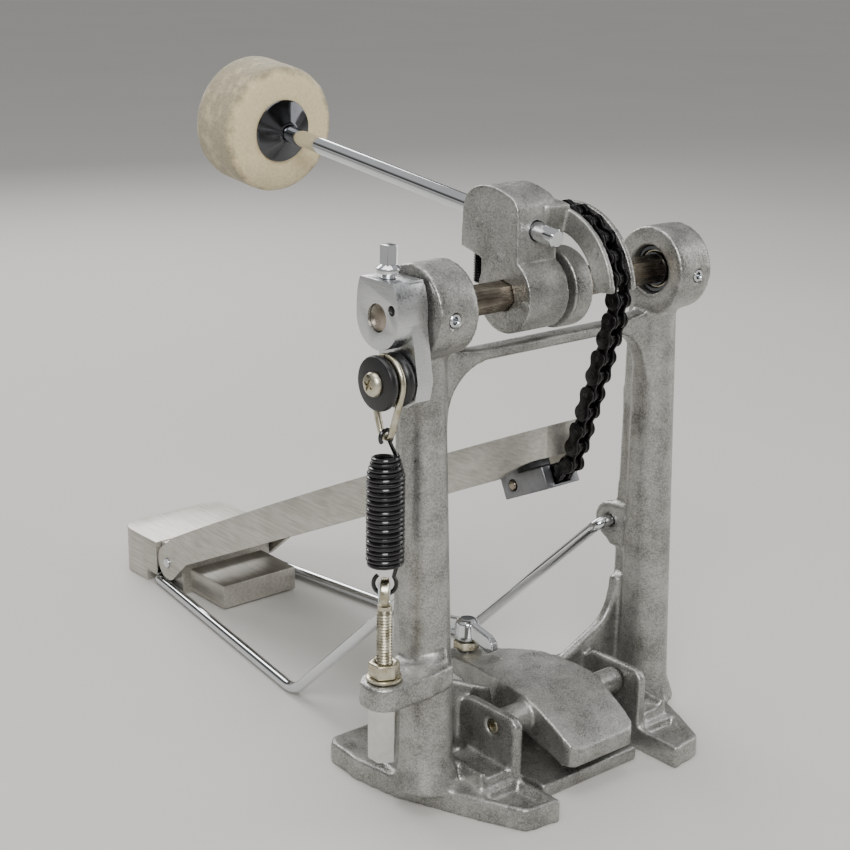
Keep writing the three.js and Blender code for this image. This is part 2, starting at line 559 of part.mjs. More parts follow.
// A teardrop of wire over the roller, its ends meeting at the top.
function linkLoop() {
  const top = ROLLER_R - GROOVE + LINK_WIRE_R + 0.25;
  const eye = LINK_EYE_R;
  const lean = Math.asin((top - eye) / (ROLLER_Z - LINK_EYE_Z));
  const path = new THREE.CurvePath();
  const arc = (radius, z, from, to) => new Route((t) => {
    const angle = from + (to - from) * t;
    return new THREE.Vector3(SPRING_X, ROLLER_Y + radius * Math.cos(angle), z + radius * Math.sin(angle));
  });
  const rim = (radius, z, angle) => arc(radius, z, angle, angle).getPoint(0);
  const right = -lean;
  const left = Math.PI + lean;
  const seam = Math.PI / 2;
  const slit = 0.25 / top;
  path.add(arc(top, ROLLER_Z, seam - slit, right));
  path.add(new THREE.LineCurve3(rim(top, ROLLER_Z, right), rim(eye, LINK_EYE_Z, right)));
  path.add(arc(eye, LINK_EYE_Z, right, left - 2 * Math.PI));
  path.add(new THREE.LineCurve3(rim(eye, LINK_EYE_Z, left), rim(top, ROLLER_Z, left)));
  path.add(arc(top, ROLLER_Z, left, seam + slit));
  return path;
}
addPiece('wire_link', wire(linkLoop(), LINK_WIRE_R, 40, 6), zincPlate);

// Coils between two hooks that lie in the X-Z plane, drawn as one path.
const HOOK_TOP_Z = LINK_EYE_Z - LINK_EYE_R;
const HOOK_BOTTOM_Z = EYE_Z + 3.4;
const HOOK_R = 4.2;
const HOOK_TOP_R = 2.65;
const springTurns = Math.floor((SPRING_TOP - SPRING_BOTTOM) / SPRING_PITCH);
function springPath() {
  const coil = SPRING_R - SPRING_WIRE_R;
  const points = [];
  const add = (x, y, z) => points.push(new THREE.Vector3(SPRING_X + x, ROLLER_Y + y, z));
  for (let angle = 130; angle <= 400; angle += 27) {
    add(HOOK_R * Math.cos(deg(angle)), 0, HOOK_BOTTOM_Z + HOOK_R * Math.sin(deg(angle)));
  }
  const steps = springTurns * 8;
  for (let k = 0; k <= steps; k++) {
    const t = k / steps;
    const angle = 2 * Math.PI * springTurns * t;
    const radius = coil * Math.min(1, 0.62 + 12 * t, 0.62 + 4 * (1 - t));
    const height = SPRING_BOTTOM + (SPRING_TOP - SPRING_BOTTOM) * t;
    add(radius * Math.cos(angle), radius * Math.sin(angle), height);
  }
  for (let angle = -50; angle <= 220; angle += 27) {
    add(HOOK_TOP_R * Math.cos(deg(angle)), 0, HOOK_TOP_Z + HOOK_TOP_R * Math.sin(deg(angle)));
  }
  return new THREE.CatmullRomCurve3(points, false, 'centripetal');
}
addPiece('tension_spring', wire(springPath(), SPRING_WIRE_R, springTurns * 8 + 30, 6), blackOxide);

const eyeTop = barX(5.4, SPRING_X - 1.6, SPRING_X + 1.6, ROLLER_Y, EYE_Z, 20);
const neck = box(SPRING_X - 1.6, SPRING_X + 1.6, ROLLER_Y - 2.8, ROLLER_Y + 2.8, EYE_Z - 8, EYE_Z - 3);
const thread = barZ(THREAD_R, LUG_Z - 20, EYE_Z - 6.5, SPRING_X, ROLLER_Y, 20);
const BUSH_R = 3.2;
const eyeHole = barX(BUSH_R + GAP, SPRING_X - 3, SPRING_X + 3, ROLLER_Y, EYE_Z, 16);
addPiece('eye_bolt', cut(join(eyeTop, neck, thread), eyeHole), zincPlate);
addPiece('eye_bush', latheX([
  [2.3, -2.4], [4.1, -2.4], [4.1, -1.6 - GAP], [BUSH_R, -1.6 - GAP], [BUSH_R, 2], [2.3, 2], [2.3, -2.4],
], SPRING_X, ROLLER_Y, EYE_Z, 16), clearNylon);
const adjusterHole = barZ(THREAD_R + GAP, 20, 90, SPRING_X, ROLLER_Y, 20);
const onLug = LUG_Z + LUG_H + GAP;
const washer = barZ(NUT_R + 0.7, onLug, onLug + 1.2, SPRING_X, ROLLER_Y, 24);
const lockNut = barZ(NUT_R, onLug + 1.5, onLug + 7, SPRING_X, ROLLER_Y, 6);
addPiece('tension_washer', cut(washer, adjusterHole), zincPlate);
addPiece('tension_nut', cut(lockNut, adjusterHole), zincPlate);
const longNut = barZ(NUT_R, LUG_Z - 22.5, LUG_Z - GAP, SPRING_X, ROLLER_Y, 6);
addPiece('tension_long_nut', cut(longNut, adjusterHole), greyAluminium);

// ---------------------------------------------------------------- hoop clamp
function clampLever() {
  const at = (y, z) => [CLAMP_Y + y, CLAMP_Z + z];
  const profile = new THREE.Shape();
  profile.moveTo(...at(-26, -14.5));
  profile.quadraticCurveTo(...at(-29, -10.5), ...at(-27, -6.5));
  profile.quadraticCurveTo(...at(-13, 3), ...at(1, 8));
  profile.quadraticCurveTo(...at(27, 10), ...at(47, 3.5));
  profile.lineTo(WING_Y + 7, CLAMP_Z + 1.5);
  profile.lineTo(WING_Y + 7, CLAMP_Z - 5);
  profile.lineTo(...at(37, -5.5));
  profile.quadraticCurveTo(...at(15, -5.5), ...at(3, -7.5));
  profile.quadraticCurveTo(...at(-11, -10.5), ...at(-21, -14.9));
  const slab = alongX(profile, -CLAMP_HALF - 4, CLAMP_HALF + 4);
  const half = CLAMP_HALF;
  const right = [
    [half - 5, CLAMP_Y - 29], [half, CLAMP_Y - 24], [half + 1.5, CLAMP_Y - 3], [half - 1, CLAMP_Y + 27],
    [11, WING_Y - 10], [10, WING_Y + 2], [6, WING_Y + 7],
  ];
  const plan = outline([...right, ...right.map(([x, y]) => [-x, y]).reverse()]);
  const body = slab.intersect(alongZ(plan, 0, CLAMP_Z + 40));
  const boss = barX(PIVOT_R + 2.6, -CHEEK_X + GAP, CHEEK_X - GAP, CLAMP_Y, CLAMP_Z, 28);
  const screwHole = (x0, x1) => barX(PIVOT_R + GAP, x0, x1, CLAMP_Y, CLAMP_Z, 16);
  const stemHole = barZ(WING_STEM_R + GAP, CLAMP_Z - 17, CLAMP_Z + 22, 0, WING_Y, 20);
  const inner = CHEEK_X - 6;
  return cut(join(body, boss), screwHole(-CHEEK_X, -inner), screwHole(inner, CHEEK_X), stemHole);
}
addPiece('clamp_lever', clampLever(), castAluminium);

const NUT_Z = CLAMP_Z + 3.5; // underside of the nut on the lever
const WING_Z = NUT_Z + 4;
function wingBolt() {
  const wings = [-1, 1].map((side) => {
    const at = (y, z) => [WING_Y + side * y, WING_Z + z];
    const rim = [at(0, 8), at(5, 8), at(15, 6), at(18, 3.5), at(18, 0.5), at(15, -1.5), at(5, 1.5), at(0, 2)];
    return alongX(outline(side > 0 ? rim.reverse() : rim), -1.8, 1.8);
  });
  const boss = [[0, 0], [5, 0], [5.4, 2], [5, 8], [3.5, 9.5], [0, 9.5]];
  const stem = barZ(WING_STEM_R, BRIDGE_H + 1.3, WING_Z + 5, 0, WING_Y, 20);
  return join(stem, latheZ(boss, 0, WING_Y, WING_Z, 20), ...wings);
}
addPiece('wing_bolt', wingBolt(), chrome);
const nutHole = barZ(WING_STEM_R + GAP, NUT_Z - 10, NUT_Z + 20, 0, WING_Y, 20);
addPiece('wing_bolt_nut', cut(barZ(WING_STEM_R * 2, NUT_Z, NUT_Z + 3.6, 0, WING_Y, 6), nutHole), zincPlate);

// ---------------------------------------------------------------- radius rod and heel plate
function rodRoute() {
  const corners = [
    [ROD_EAR_X + 2.7, ROD_EAR_Y, ROD_EAR_Z], [ROD_BEND_X - 3, ROD_EAR_Y, ROD_EAR_Z],
    [ROD_BEND_X, ROD_BEND_Y, ROD_R + 0.5], [HEEL_HALF - 3, HEEL_PIN_Y + 15, ROD_R + 0.5],
  ].map((p) => new THREE.Vector3(...p));
  const route = [...corners, ...corners.map((p) => new THREE.Vector3(-p.x, p.y, p.z)).reverse()];
  const bendAt = [0, 5, 8, 5, 5, 8, 5, 0];
  const path = new THREE.CurvePath();
  let from = route[0];
  for (let k = 1; k < route.length - 1; k++) {
    const before = route[k].clone().lerp(route[k - 1], bendAt[k] / route[k].distanceTo(route[k - 1]));
    const after = route[k].clone().lerp(route[k + 1], bendAt[k] / route[k].distanceTo(route[k + 1]));
    path.add(new THREE.LineCurve3(from, before));
    path.add(new THREE.QuadraticBezierCurve3(before, route[k], after));
    from = after;
  }
  path.add(new THREE.LineCurve3(from, route[route.length - 1]));
  return path;
}
addPiece('radius_rod', wire(rodRoute(), ROD_R, 112, 8), chrome);

function heelPlate() {
  const corner = 12;
  const front = HEEL_PIN_Y + 10.5;
  const rear = new THREE.Shape();
  rear.moveTo(-HEEL_HALF, front);
  rear.lineTo(HEEL_HALF, front);
  rear.lineTo(HEEL_HALF, HEEL_REAR - corner);
  rear.quadraticCurveTo(HEEL_HALF, HEEL_REAR, HEEL_HALF - corner, HEEL_REAR);
  rear.lineTo(-HEEL_HALF + corner, HEEL_REAR);
  rear.quadraticCurveTo(-HEEL_HALF, HEEL_REAR, -HEEL_HALF, HEEL_REAR - corner);
  const inner = HEEL_HALF - SKIRT - 1;
  const body = join(
    alongZ(rear, 0, HEEL_H),
    box(-inner, inner, HEEL_PIN_Y - 8, HEEL_PIN_Y + 12, 0, HEEL_H - 0.5),
    box(-inner + 5, inner - 5, HEEL_PIN_Y - HEEL_TONGUE, HEEL_PIN_Y, 1, HEEL_PIN_Z - 3),
  );
  const rodSeat = box(-HEEL_HALF - 9, HEEL_HALF + 9, HEEL_PIN_Y + 3, HEEL_PIN_Y + 20, -1, 2 * ROD_R + 1.2);
  return cut(body, rodSeat, barX(HEEL_PIN_R + GAP, -HEEL_HALF, HEEL_HALF, HEEL_PIN_Y, HEEL_PIN_Z, 16));
}
addPiece('heel_plate', heelPlate(), satinAluminium);
const pinReach = HEEL_HALF + 0.8;
addPiece('heel_pin', barX(HEEL_PIN_R, -pinReach, pinReach, HEEL_PIN_Y, HEEL_PIN_Z, 16), zincPlate);

// ---------------------------------------------------------------- the chain's line
// Pins count up along the sector and down the straight span, from the one where the chain leaves it.
const pinOnSector = (k) => onSector(CHAIN_OFF + k * linkAngle, CHAIN_R);
const fall = [-Math.sin(deg(CHAIN_OFF)), -Math.cos(deg(CHAIN_OFF))];
const leave = pinOnSector(0);
const pinOnSpan = (k) => [leave[0] + fall[0] * CHAIN_PITCH * k, leave[1] + fall[1] * CHAIN_PITCH * k];
const [spanEndY, spanEndZ] = pinOnSpan(SPAN_LINKS);

// ---------------------------------------------------------------- footboard
const TOE_Y = spanEndY + 5.6;
const TOE_Z = spanEndZ + 9;
const BOARD_REAR_Y = HEEL_PIN_Y - 7;
const BOARD_REAR_Z = HEEL_PIN_Z + 16;
const boardSlope = Math.atan2(TOE_Z - BOARD_REAR_Z, BOARD_REAR_Y - TOE_Y);

// Height of the board's top surface at y.
function boardTop(y) {
  const t = (y - TOE_Y) / (BOARD_REAR_Y - TOE_Y);
  return TOE_Z + (BOARD_REAR_Z - TOE_Z) * t + 4 * CROWN * t * (1 - t);
}
const topLine = Array.from({ length: 8 }, (_, k) => {
  const y = TOE_Y + ((BOARD_REAR_Y - TOE_Y) * k) / 7;
  return [y, boardTop(y)];
});

// Half the board's width against the distance from the toe, which widens toward the middle.
const boardPlan = [
  [HEEL_HALF - 0.5, HEEL_PIN_Y + 11], [HEEL_HALF, HEEL_PIN_Y - 5], [BOARD_HALF - 2, HEEL_PIN_Y - 40],
  [BOARD_HALF, HEEL_PIN_Y - 95], [BOARD_HALF, HEEL_PIN_Y - 135], [BOARD_HALF - 6, TOE_Y + 67],
  [TOE_HALF * 2, TOE_Y + 27], [TOE_HALF + 5, TOE_Y + 9], [TOE_HALF, TOE_Y],
];
function boardOutline(inset) {
  const side = boardPlan.map(([x, y]) => [x - inset, y === TOE_Y ? y + inset : y]);
  return outline([...side, ...side.map(([x, y]) => [-x, y]).reverse()].reverse());
}

function footboard() {
  const wide = BOARD_HALF + 4;
  const bottom = (y) => boardTop(y) - SKIRT_DEPTH;
  const shape = new THREE.Shape();
  shape.moveTo(TOE_Y, TOE_Z - 13);
  shape.quadraticCurveTo(TOE_Y + 9, TOE_Z - 16, TOE_Y + 19, bottom(TOE_Y + 19));
  shape.lineTo(HEEL_PIN_Y - 20, bottom(HEEL_PIN_Y - 20));
  shape.absarc(HEEL_PIN_Y, HEEL_PIN_Z, 9, deg(-125), deg(60), false);
  topLine.slice().reverse().forEach(([y, z]) => shape.lineTo(y, z));
  const outer = alongX(shape, -wide, wide).intersect(alongZ(boardOutline(0), 0, TOE_Z + 20));
  const under = outline([
    ...topLine.map(([y, z]) => [y, z - DECK]), [BOARD_REAR_Y, HEEL_PIN_Z + 44], [HEEL_REAR, HEEL_PIN_Z + 44],
    [HEEL_REAR, -10], [TOE_Y - 13, -10], [TOE_Y - 13, TOE_Z - DECK],
  ]);
  const hollow = alongX(under, -wide, wide).intersect(alongZ(boardOutline(SKIRT), -10, TOE_Z + 20));
  const pinHole = barX(HEEL_PIN_R + GAP, -wide, wide, HEEL_PIN_Y, HEEL_PIN_Z, 16);
  return cut(outer, hollow, pinHole);
}
const board = footboard();
addPiece('footboard', board, satinAluminium);

// ---------------------------------------------------------------- chain
// A stadium-shaped plate from one pin to the next.
function linkShape(a, b, radius) {
  const along = Math.atan2(b[1] - a[1], b[0] - a[0]);
  const points = [];
  for (const [centre, start] of [[b, along - Math.PI / 2], [a, along + Math.PI / 2]]) {
    for (let k = 0; k <= 4; k++) {
      const angle = start + (Math.PI * k) / 4;
      points.push([centre[0] + radius * Math.cos(angle), centre[1] + radius * Math.sin(angle)]);
    }
  }
  return outline(points);
}
function platePair(a, b, inner) {
  const shape = linkShape(a, b, PLATE_HALF);
  const outer = inner + PLATE_WALL;
  return join(alongX(shape, -outer, -inner), alongX(shape, inner, outer));
}
const rollerAt = ([y, z]) => barX(CHAIN_ROLLER_R, -INNER_PLATE - 0.1, INNER_PLATE + 0.1, y, z, 10);
const pinAt = ([y, z]) => barX(CHAIN_PIN_R, -CHAIN_HALF, CHAIN_HALF, y, z, 8);
function innerLink(a, b) {
  const holes = [a, b].map(([y, z]) => barX(CHAIN_PIN_R + GAP, -CHAIN_HALF, CHAIN_HALF, y, z, 10));
  return cut(join(platePair(a, b, INNER_PLATE), rollerAt(a), rollerAt(b)), ...holes);
}
const outerLink = (a, b) => join(platePair(a, b, OUTER_PLATE), pinAt(a), pinAt(b));

// Links that never bend against each other, taken as one solid that starts with an outer link.
function fixedRun(pins) {
  const plates = pins.slice(1).map((pin, k) => {
    return platePair(pins[k], pin, k % 2 === 0 ? OUTER_PLATE : INNER_PLATE);
  });
  return join(...plates, ...pins.map(pinAt), ...pins.slice(1, -1).map(rollerAt));
}

// Links alternate outer, inner. The pin shared with a moving inner link belongs to its outer neighbour.
const wrapPins = [];
for (let k = WRAP_LINKS; k >= FREE_LINKS; k--) wrapPins.push(pinOnSector(k));
addPiece('chain_wrap', fixedRun(wrapPins), blackOxide);
for (let k = FREE_LINKS; k > 0; k--) {
  const make = (FREE_LINKS - k) % 2 === 0 ? innerLink : outerLink;
  addPiece(`chain_link_${FREE_LINKS - k + 1}`, make(pinOnSector(k), pinOnSector(k - 1)), blackOxide);
}
const spanPins = Array.from({ length: SPAN_LINKS + 1 }, (_, k) => pinOnSpan(k));
addPiece('chain_span', fixedRun(spanPins), blackOxide);

// The last links curve back under the toe into the anchor block and never move against the footboard.
const tailPins = [];
const lastFall = Math.PI / 2 - boardSlope; // the last link lies along the board
const tailFalls = [lastFall - deg(16), lastFall]; // each tail link from the vertical
let tailAt = pinOnSpan(SPAN_LINKS + 1);
tailPins.push(tailAt);
for (const slope of tailFalls) {
  tailAt = [tailAt[0] + CHAIN_PITCH * Math.sin(slope), tailAt[1] - CHAIN_PITCH * Math.cos(slope)];
  tailPins.push(tailAt);
}
addPiece('chain_tail', fixedRun(tailPins), blackOxide);

const ANCHOR_PIN_R = 2;
function anchorBlock() {
  const [endY, endZ] = tailAt;
  const [cos, sin] = [Math.cos(boardSlope), Math.sin(boardSlope)];
  const at = (along, up) => [endY + along * cos + up * sin, endZ - along * sin + up * cos];
  const top = 30; // the step is drawn tall and ends where the board's underside cuts it
  const floor = -PLATE_HALF - 0.5;
  const side = [at(-8, -5), at(18, -5), at(18, top), at(6, top), at(6, 4.2), at(-8, 4.2)];
  const slot = [at(-20, floor), at(5, floor), at(5, top + 6), at(-20, top + 6)];
  const [pinY, pinZ] = at(11.5, 0);
  const underside = topLine.map(([y, z]) => [y, z - DECK - GAP]);
  const [[toeY, toeZ]] = underside;
  const above = [...underside, [HEEL_PIN_Y, toeZ + 60], [toeY - 40, toeZ + 60], [toeY - 40, toeZ]];
  const block = cut(
    alongX(outline(side), -BLOCK_HALF, BLOCK_HALF),
    alongX(outline(slot), -CHAIN_HALF - GAP, CHAIN_HALF + GAP),
    alongX(outline(above), -BLOCK_HALF - 1, BLOCK_HALF + 1),
    board.translate([0, 0, -GAP]),
    board.translate([0, -GAP, 0]),
    barX(ANCHOR_PIN_R + GAP, -BLOCK_HALF - 9, BLOCK_HALF + 9, pinY, pinZ, 16),
  );
  return { block, pin: barX(ANCHOR_PIN_R, -BLOCK_HALF - 0.6, BLOCK_HALF + 0.6, pinY, pinZ, 16) };
}
const anchor = anchorBlock();
addPiece('chain_anchor_block', anchor.block, greyAluminium);
addPiece('chain_anchor_pin', anchor.pin, dullSteel);

export default group;
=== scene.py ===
"""Bass drum pedal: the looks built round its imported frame, one section for each piece as it goes together."""
import json
import math

import bmesh
import bpy
from mathutils import Matrix, Vector, noise
from mathutils.bvhtree import BVHTree


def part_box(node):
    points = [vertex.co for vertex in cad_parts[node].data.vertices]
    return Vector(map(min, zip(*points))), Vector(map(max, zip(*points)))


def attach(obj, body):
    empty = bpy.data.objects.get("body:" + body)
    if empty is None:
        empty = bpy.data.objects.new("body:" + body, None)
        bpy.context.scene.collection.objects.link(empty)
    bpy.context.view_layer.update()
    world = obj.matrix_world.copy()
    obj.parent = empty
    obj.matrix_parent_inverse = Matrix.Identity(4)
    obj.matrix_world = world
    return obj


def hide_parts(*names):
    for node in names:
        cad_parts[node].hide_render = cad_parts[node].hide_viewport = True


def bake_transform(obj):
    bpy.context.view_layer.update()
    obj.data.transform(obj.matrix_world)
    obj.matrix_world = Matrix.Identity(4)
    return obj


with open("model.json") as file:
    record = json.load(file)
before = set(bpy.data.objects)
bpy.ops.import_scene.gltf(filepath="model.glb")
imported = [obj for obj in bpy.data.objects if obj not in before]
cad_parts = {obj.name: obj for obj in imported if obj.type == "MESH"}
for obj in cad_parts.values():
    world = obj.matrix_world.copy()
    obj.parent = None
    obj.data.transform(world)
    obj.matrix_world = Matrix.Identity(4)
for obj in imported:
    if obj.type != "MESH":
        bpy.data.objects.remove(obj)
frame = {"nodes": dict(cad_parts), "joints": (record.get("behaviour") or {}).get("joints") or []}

scene = bpy.context.scene
MM = 0.001
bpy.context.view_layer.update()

# ---- Camera
# A short telephoto, low over the drum side and turned to the spring side of the pedal. It is rolled by about
# a degree.
AZIMUTH, ELEVATION, ROLL = math.radians(-40.4), math.radians(17.14), math.radians(0.87)
lens = bpy.data.cameras.new("camera")
lens.lens = 70.958  # millimetres, on a 36 mm wide picture
lens.clip_start = 0.01
camera = bpy.data.objects.new("camera", lens)
turn = Matrix.Rotation(AZIMUTH, 4, "Z") @ Matrix.Rotation(math.pi / 2 - ELEVATION, 4, "X")
camera.matrix_world = Matrix.Translation((-0.4467, -0.4447, 0.3368)) @ turn @ Matrix.Rotation(ROLL, 4, "Z")
scene.collection.objects.link(camera)
scene.camera = camera


# ---- Studio
# A plain pale floor under four large soft boxes, with a soft pale surround which the plated parts mirror.
def linear(colour):
    """An sRGB hex colour such as 'a0b0c0' as linear red, green, blue and alpha."""
    parts = [int(colour[i:i + 2], 16) / 255 for i in (0, 2, 4)]
    return [c / 12.92 if c <= 0.04045 else ((c + 0.055) / 1.055) ** 2.4 for c in parts] + [1.0]


def add(tree, kind, inputs=None, **settings):
    """Adds one node; an input is a value or the socket that feeds it."""
    made = tree.nodes.new(kind)
    for name, value in settings.items():
        setattr(made, name, value)
    for name, value in (inputs or {}).items():
        if isinstance(value, bpy.types.NodeSocket):
            tree.links.new(value, made.inputs[name])
        else:
            made.inputs[name].default_value = value
    return made


def begin(name, **constants):
    """A new material: returns it, its tree, its shader and the Object coordinates in metres."""
    material = bpy.data.materials.new(name)
    material.use_nodes = True
    tree = material.node_tree
    shader = tree.nodes["Principled BSDF"]
    for socket, value in constants.items():
        shader.inputs[socket.replace("_", " ")].default_value = value
    return material, tree, shader, add(tree, "ShaderNodeTexCoord").outputs["Object"]


def feed(tree, shader, **sockets):
    """Links colour, roughness and normal outputs into the shader."""
    for name, output in sockets.items():
        tree.links.new(output, shader.inputs[name.replace("_", " ")])


floor_mesh = bpy.data.meshes.new("floor")
bm = bmesh.new()
bmesh.ops.create_grid(bm, x_segments=1, y_segments=1, size=6.0)
bm.to_mesh(floor_mesh)
bm.free()
floor = bpy.data.objects.new("floor", floor_mesh)
scene.collection.objects.link(floor)
paper, tree, shader, place = begin("studio_paper", Roughness=0.9)
mottle = add(tree, "ShaderNodeTexNoise", {"Vector": place, "Scale": 3.0})
tint = add(tree, "ShaderNodeMix", {0: mottle.outputs["Fac"], 6: linear("c9c7c2"), 7: linear("d0cec9")},
           data_type="RGBA")
feed(tree, shader, Base_Color=tint.outputs[2])
floor_mesh.materials.append(paper)

# name, place, width, height, power: key at the front left, fill at the right, rim behind, and one overhead
SOFT_BOXES = (("key", (-0.75, -0.75, 0.95), 0.6, 0.6, 13.0), ("fill", (1.1, -0.5, 0.5), 0.5, 0.9, 4.0),
              ("rim", (0.3, 1.2, 0.8), 0.9, 0.5, 9.0), ("overhead", (-0.1, 0.1, 1.3), 0.9, 0.9, 7.0))
for name, where, width, height, power in SOFT_BOXES:
    light = bpy.data.lights.new(name, "AREA")
    light.shape = "RECTANGLE"
    light.size = width
    light.size_y = height
    light.energy = power
    lamp = bpy.data.objects.new(name, light)
    aim = Vector((0, 0.08, 0.12)) - Vector(where)
    lamp.matrix_world = Matrix.Translation(where) @ aim.to_track_quat("-Z", "Y").to_matrix().to_4x4()
    scene.collection.objects.link(lamp)

world = bpy.data.worlds.new("surround")
world.use_nodes = True
scene.world = world
tree = world.node_tree
where = add(tree, "ShaderNodeSeparateXYZ", {"Vector": add(tree, "ShaderNodeTexCoord").outputs["Generated"]})
# Pale at the horizon, a darker band that gives the plated parts an edge, and pale again overhead.
band = add(tree, "ShaderNodeMapRange", {0: where.outputs["Z"], 1: 0.14, 2: 0.22})
climb = add(tree, "ShaderNodeMapRange", {0: where.outputs["Z"], 1: 0.38, 2: 0.56})
wall = add(tree, "ShaderNodeMix", {0: band.outputs[0], 6: linear("efedea"), 7: linear("62615f")},
           data_type="RGBA")
sky = add(tree, "ShaderNodeMix", {0: climb.outputs[0], 6: wall.outputs[2], 7: linear("f4f5f6")},
          data_type="RGBA")
tree.links.new(sky.outputs[2], tree.nodes["Background"].inputs["Color"])
tree.nodes["Background"].inputs["Strength"].default_value = 0.58


# ---- Frame casting
# Sand-cast aluminium tumbled in stone until it is evenly grey and grainy. One piece holds both feet, both
# posts, the bearing housings, the crossbar and the adjuster's lug.
cast_metal, tree, shader, place = begin("tumbled_cast_aluminium", Metallic=0.85)
# The real grain is under 0.3 mm; it is drawn as 0.5 mm so that it shows.
grain = add(tree, "ShaderNodeTexVoronoi", {"Vector": place, "Scale": 1 / (0.5 * MM)}, feature="F1")
grit = add(tree, "ShaderNodeSeparateColor", {"Color": grain.outputs["Color"]})
cloud = add(tree, "ShaderNodeTexNoise", {"Vector": place, "Scale": 1 / (12 * MM), "Detail": 6.0,
                                         "Roughness": 0.6})
pores = add(tree, "ShaderNodeTexNoise", {"Vector": place, "Scale": 1 / (1.4 * MM), "Detail": 4.0,
                                         "Roughness": 0.65})
worn = add(tree, "ShaderNodeMapRange", {0: cloud.outputs["Fac"], 1: 0.32, 2: 0.68, 3: 0.1, 4: 0.75})
speckle = add(tree, "ShaderNodeMapRange", {0: grit.outputs["Red"], 3: -0.3, 4: 0.3})
tone = add(tree, "ShaderNodeMath", {0: worn.outputs[0], 1: speckle.outputs[0]}, operation="ADD",
           use_clamp=True)
tint = add(tree, "ShaderNodeMix", {0: tone.outputs[0], 6: linear("83827e"), 7: linear("c4c3bf")},
           data_type="RGBA")
dull = add(tree, "ShaderNodeMapRange", {0: cloud.outputs["Fac"], 1: 0.3, 2: 0.7, 3: 0.3, 4: 0.42})
glint = add(tree, "ShaderNodeMapRange", {0: grit.outputs["Green"], 3: -0.08, 4: 0.08})
rough = add(tree, "ShaderNodeMath", {0: dull.outputs[0], 1: glint.outputs[0]}, operation="ADD")
bump = add(tree, "ShaderNodeBump", {"Height": pores.outputs["Fac"], "Strength": 0.5, "Distance": 0.3 * MM})
fine = add(tree, "ShaderNodeBump", {"Height": grit.outputs["Blue"], "Strength": 0.22, "Distance": 0.1 * MM,
                                    "Normal": bump.outputs[0]})
feed(tree, shader, Base_Color=tint.outputs[2], Roughness=rough.outputs[0], Normal=fine.outputs[0])


def bench_copy(node):
    """A welded copy of a node's mesh, ready to be worked."""
    bm = bmesh.new()
    bm.from_mesh(frame["nodes"][node].data)
    bmesh.ops.remove_doubles(bm, verts=bm.verts, dist=1e-5)
    return bm


def tumbled(node, grid, passes):
    """The node's shape with the soft edges that casting and tumbling leave; grid is in millimetres."""
    bm = bench_copy(node)
    blank = bpy.data.objects.new("blank", bpy.data.meshes.new("blank"))
    bm.to_mesh(blank.data)
    bm.free()
    scene.collection.objects.link(blank)
    remesh = blank.modifiers.new("grid", "REMESH")
    remesh.mode = "VOXEL"
    remesh.voxel_size = grid * MM
    skin = bpy.data.meshes.new_from_object(blank.evaluated_get(bpy.context.evaluated_depsgraph_get()))
    bpy.data.objects.remove(blank)
    bm = bmesh.new()
    bm.from_mesh(skin)
    for _ in range(passes):
        bmesh.ops.smooth_vert(bm, verts=bm.verts, factor=0.5, use_axis_x=True, use_axis_y=True,
                              use_axis_z=True)
    return bm


def fit(name, bm, material, body, slot, *nodes, sharp=35):
    """Finishes a piece: names it, colours it, sets it on its body and lets it stand for its CAD nodes."""
    mesh = bpy.data.meshes.new(name)
    for face in bm.faces:
        face.smooth = True
    bm.to_mesh(mesh)
    bm.free()
    mesh.set_sharp_from_angle(angle=math.radians(sharp))
    mesh.materials.append(material)
    piece = bpy.data.objects.new(name, mesh)
    scene.collection.objects.link(piece)
    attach(piece, body)
    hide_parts(*nodes)
    return piece


fit("cast_frame", tumbled("frame_casting", 1.15, 3), cast_metal, "frame", "cast_aluminium", "frame_casting",
    sharp=80)

# ---- Beater hub and clamp lever
# The same tumbled castings. The hub carries the beater's holder and the chain sector on the axle, with the
# faint rings of the mould's ejector pins on its flat side. The lever rocks between the cheeks and presses the
# drum's hoop.
EJECTOR_MARKS = ((14.9, 225.3), (2.3, 213.8), (-11.8, 197.5), (-4.3, 229.4), (-22.7, 216.5))


def turned(profile, place, steps=64):
    """A turned piece: (radius, height) pairs in millimetres spun about Z and set by a matrix."""
    bm = bmesh.new()
    verts = [bm.verts.new((radius * MM, 0, height * MM)) for radius, height in profile]
    edges = [bm.edges.new(pair) for pair in zip(verts, verts[1:])]
    bmesh.ops.spin(bm, geom=verts + edges, cent=(0, 0, 0), axis=(0, 0, 1), angle=2 * math.pi, steps=steps,
                   use_merge=True)
    bmesh.ops.remove_doubles(bm, verts=bm.verts, dist=1e-6)
    bmesh.ops.recalc_face_normals(bm, faces=bm.faces)
    bmesh.ops.transform(bm, matrix=place, verts=bm.verts)
    return bm


def together(*parts):
    """Several meshes in one."""
    whole = bmesh.new()
    for part in parts:
        mesh = bpy.data.meshes.new("part")
        part.to_mesh(mesh)
        part.free()
        whole.from_mesh(mesh)
        bpy.data.meshes.remove(mesh)
    return whole


hub = tumbled("beater_hub", 0.55, 3)
skin = BVHTree.FromBMesh(hub)
marks = []
for y, z in EJECTOR_MARKS:
    touch, facing = skin.ray_cast(Vector((-60, y, z)) * MM, Vector((1, 0, 0)))[:2]
    ring = [(0, 0.02), (1.7, 0.02), (1.95, 0.16), (2.25, 0.16), (2.5, -0.1)]
    stand = Matrix.Translation(touch) @ facing.to_track_quat("Z", "Y").to_matrix().to_4x4()
    marks.append(turned(ring, stand, 32))
fit("cast_hub", together(hub, *marks), cast_metal, "axle", "cast_aluminium", "beater_hub", sharp=80)
fit("cast_lever", tumbled("clamp_lever", 0.7, 4), cast_metal, "clamp", "cast_aluminium", "clamp_lever",
    sharp=80)


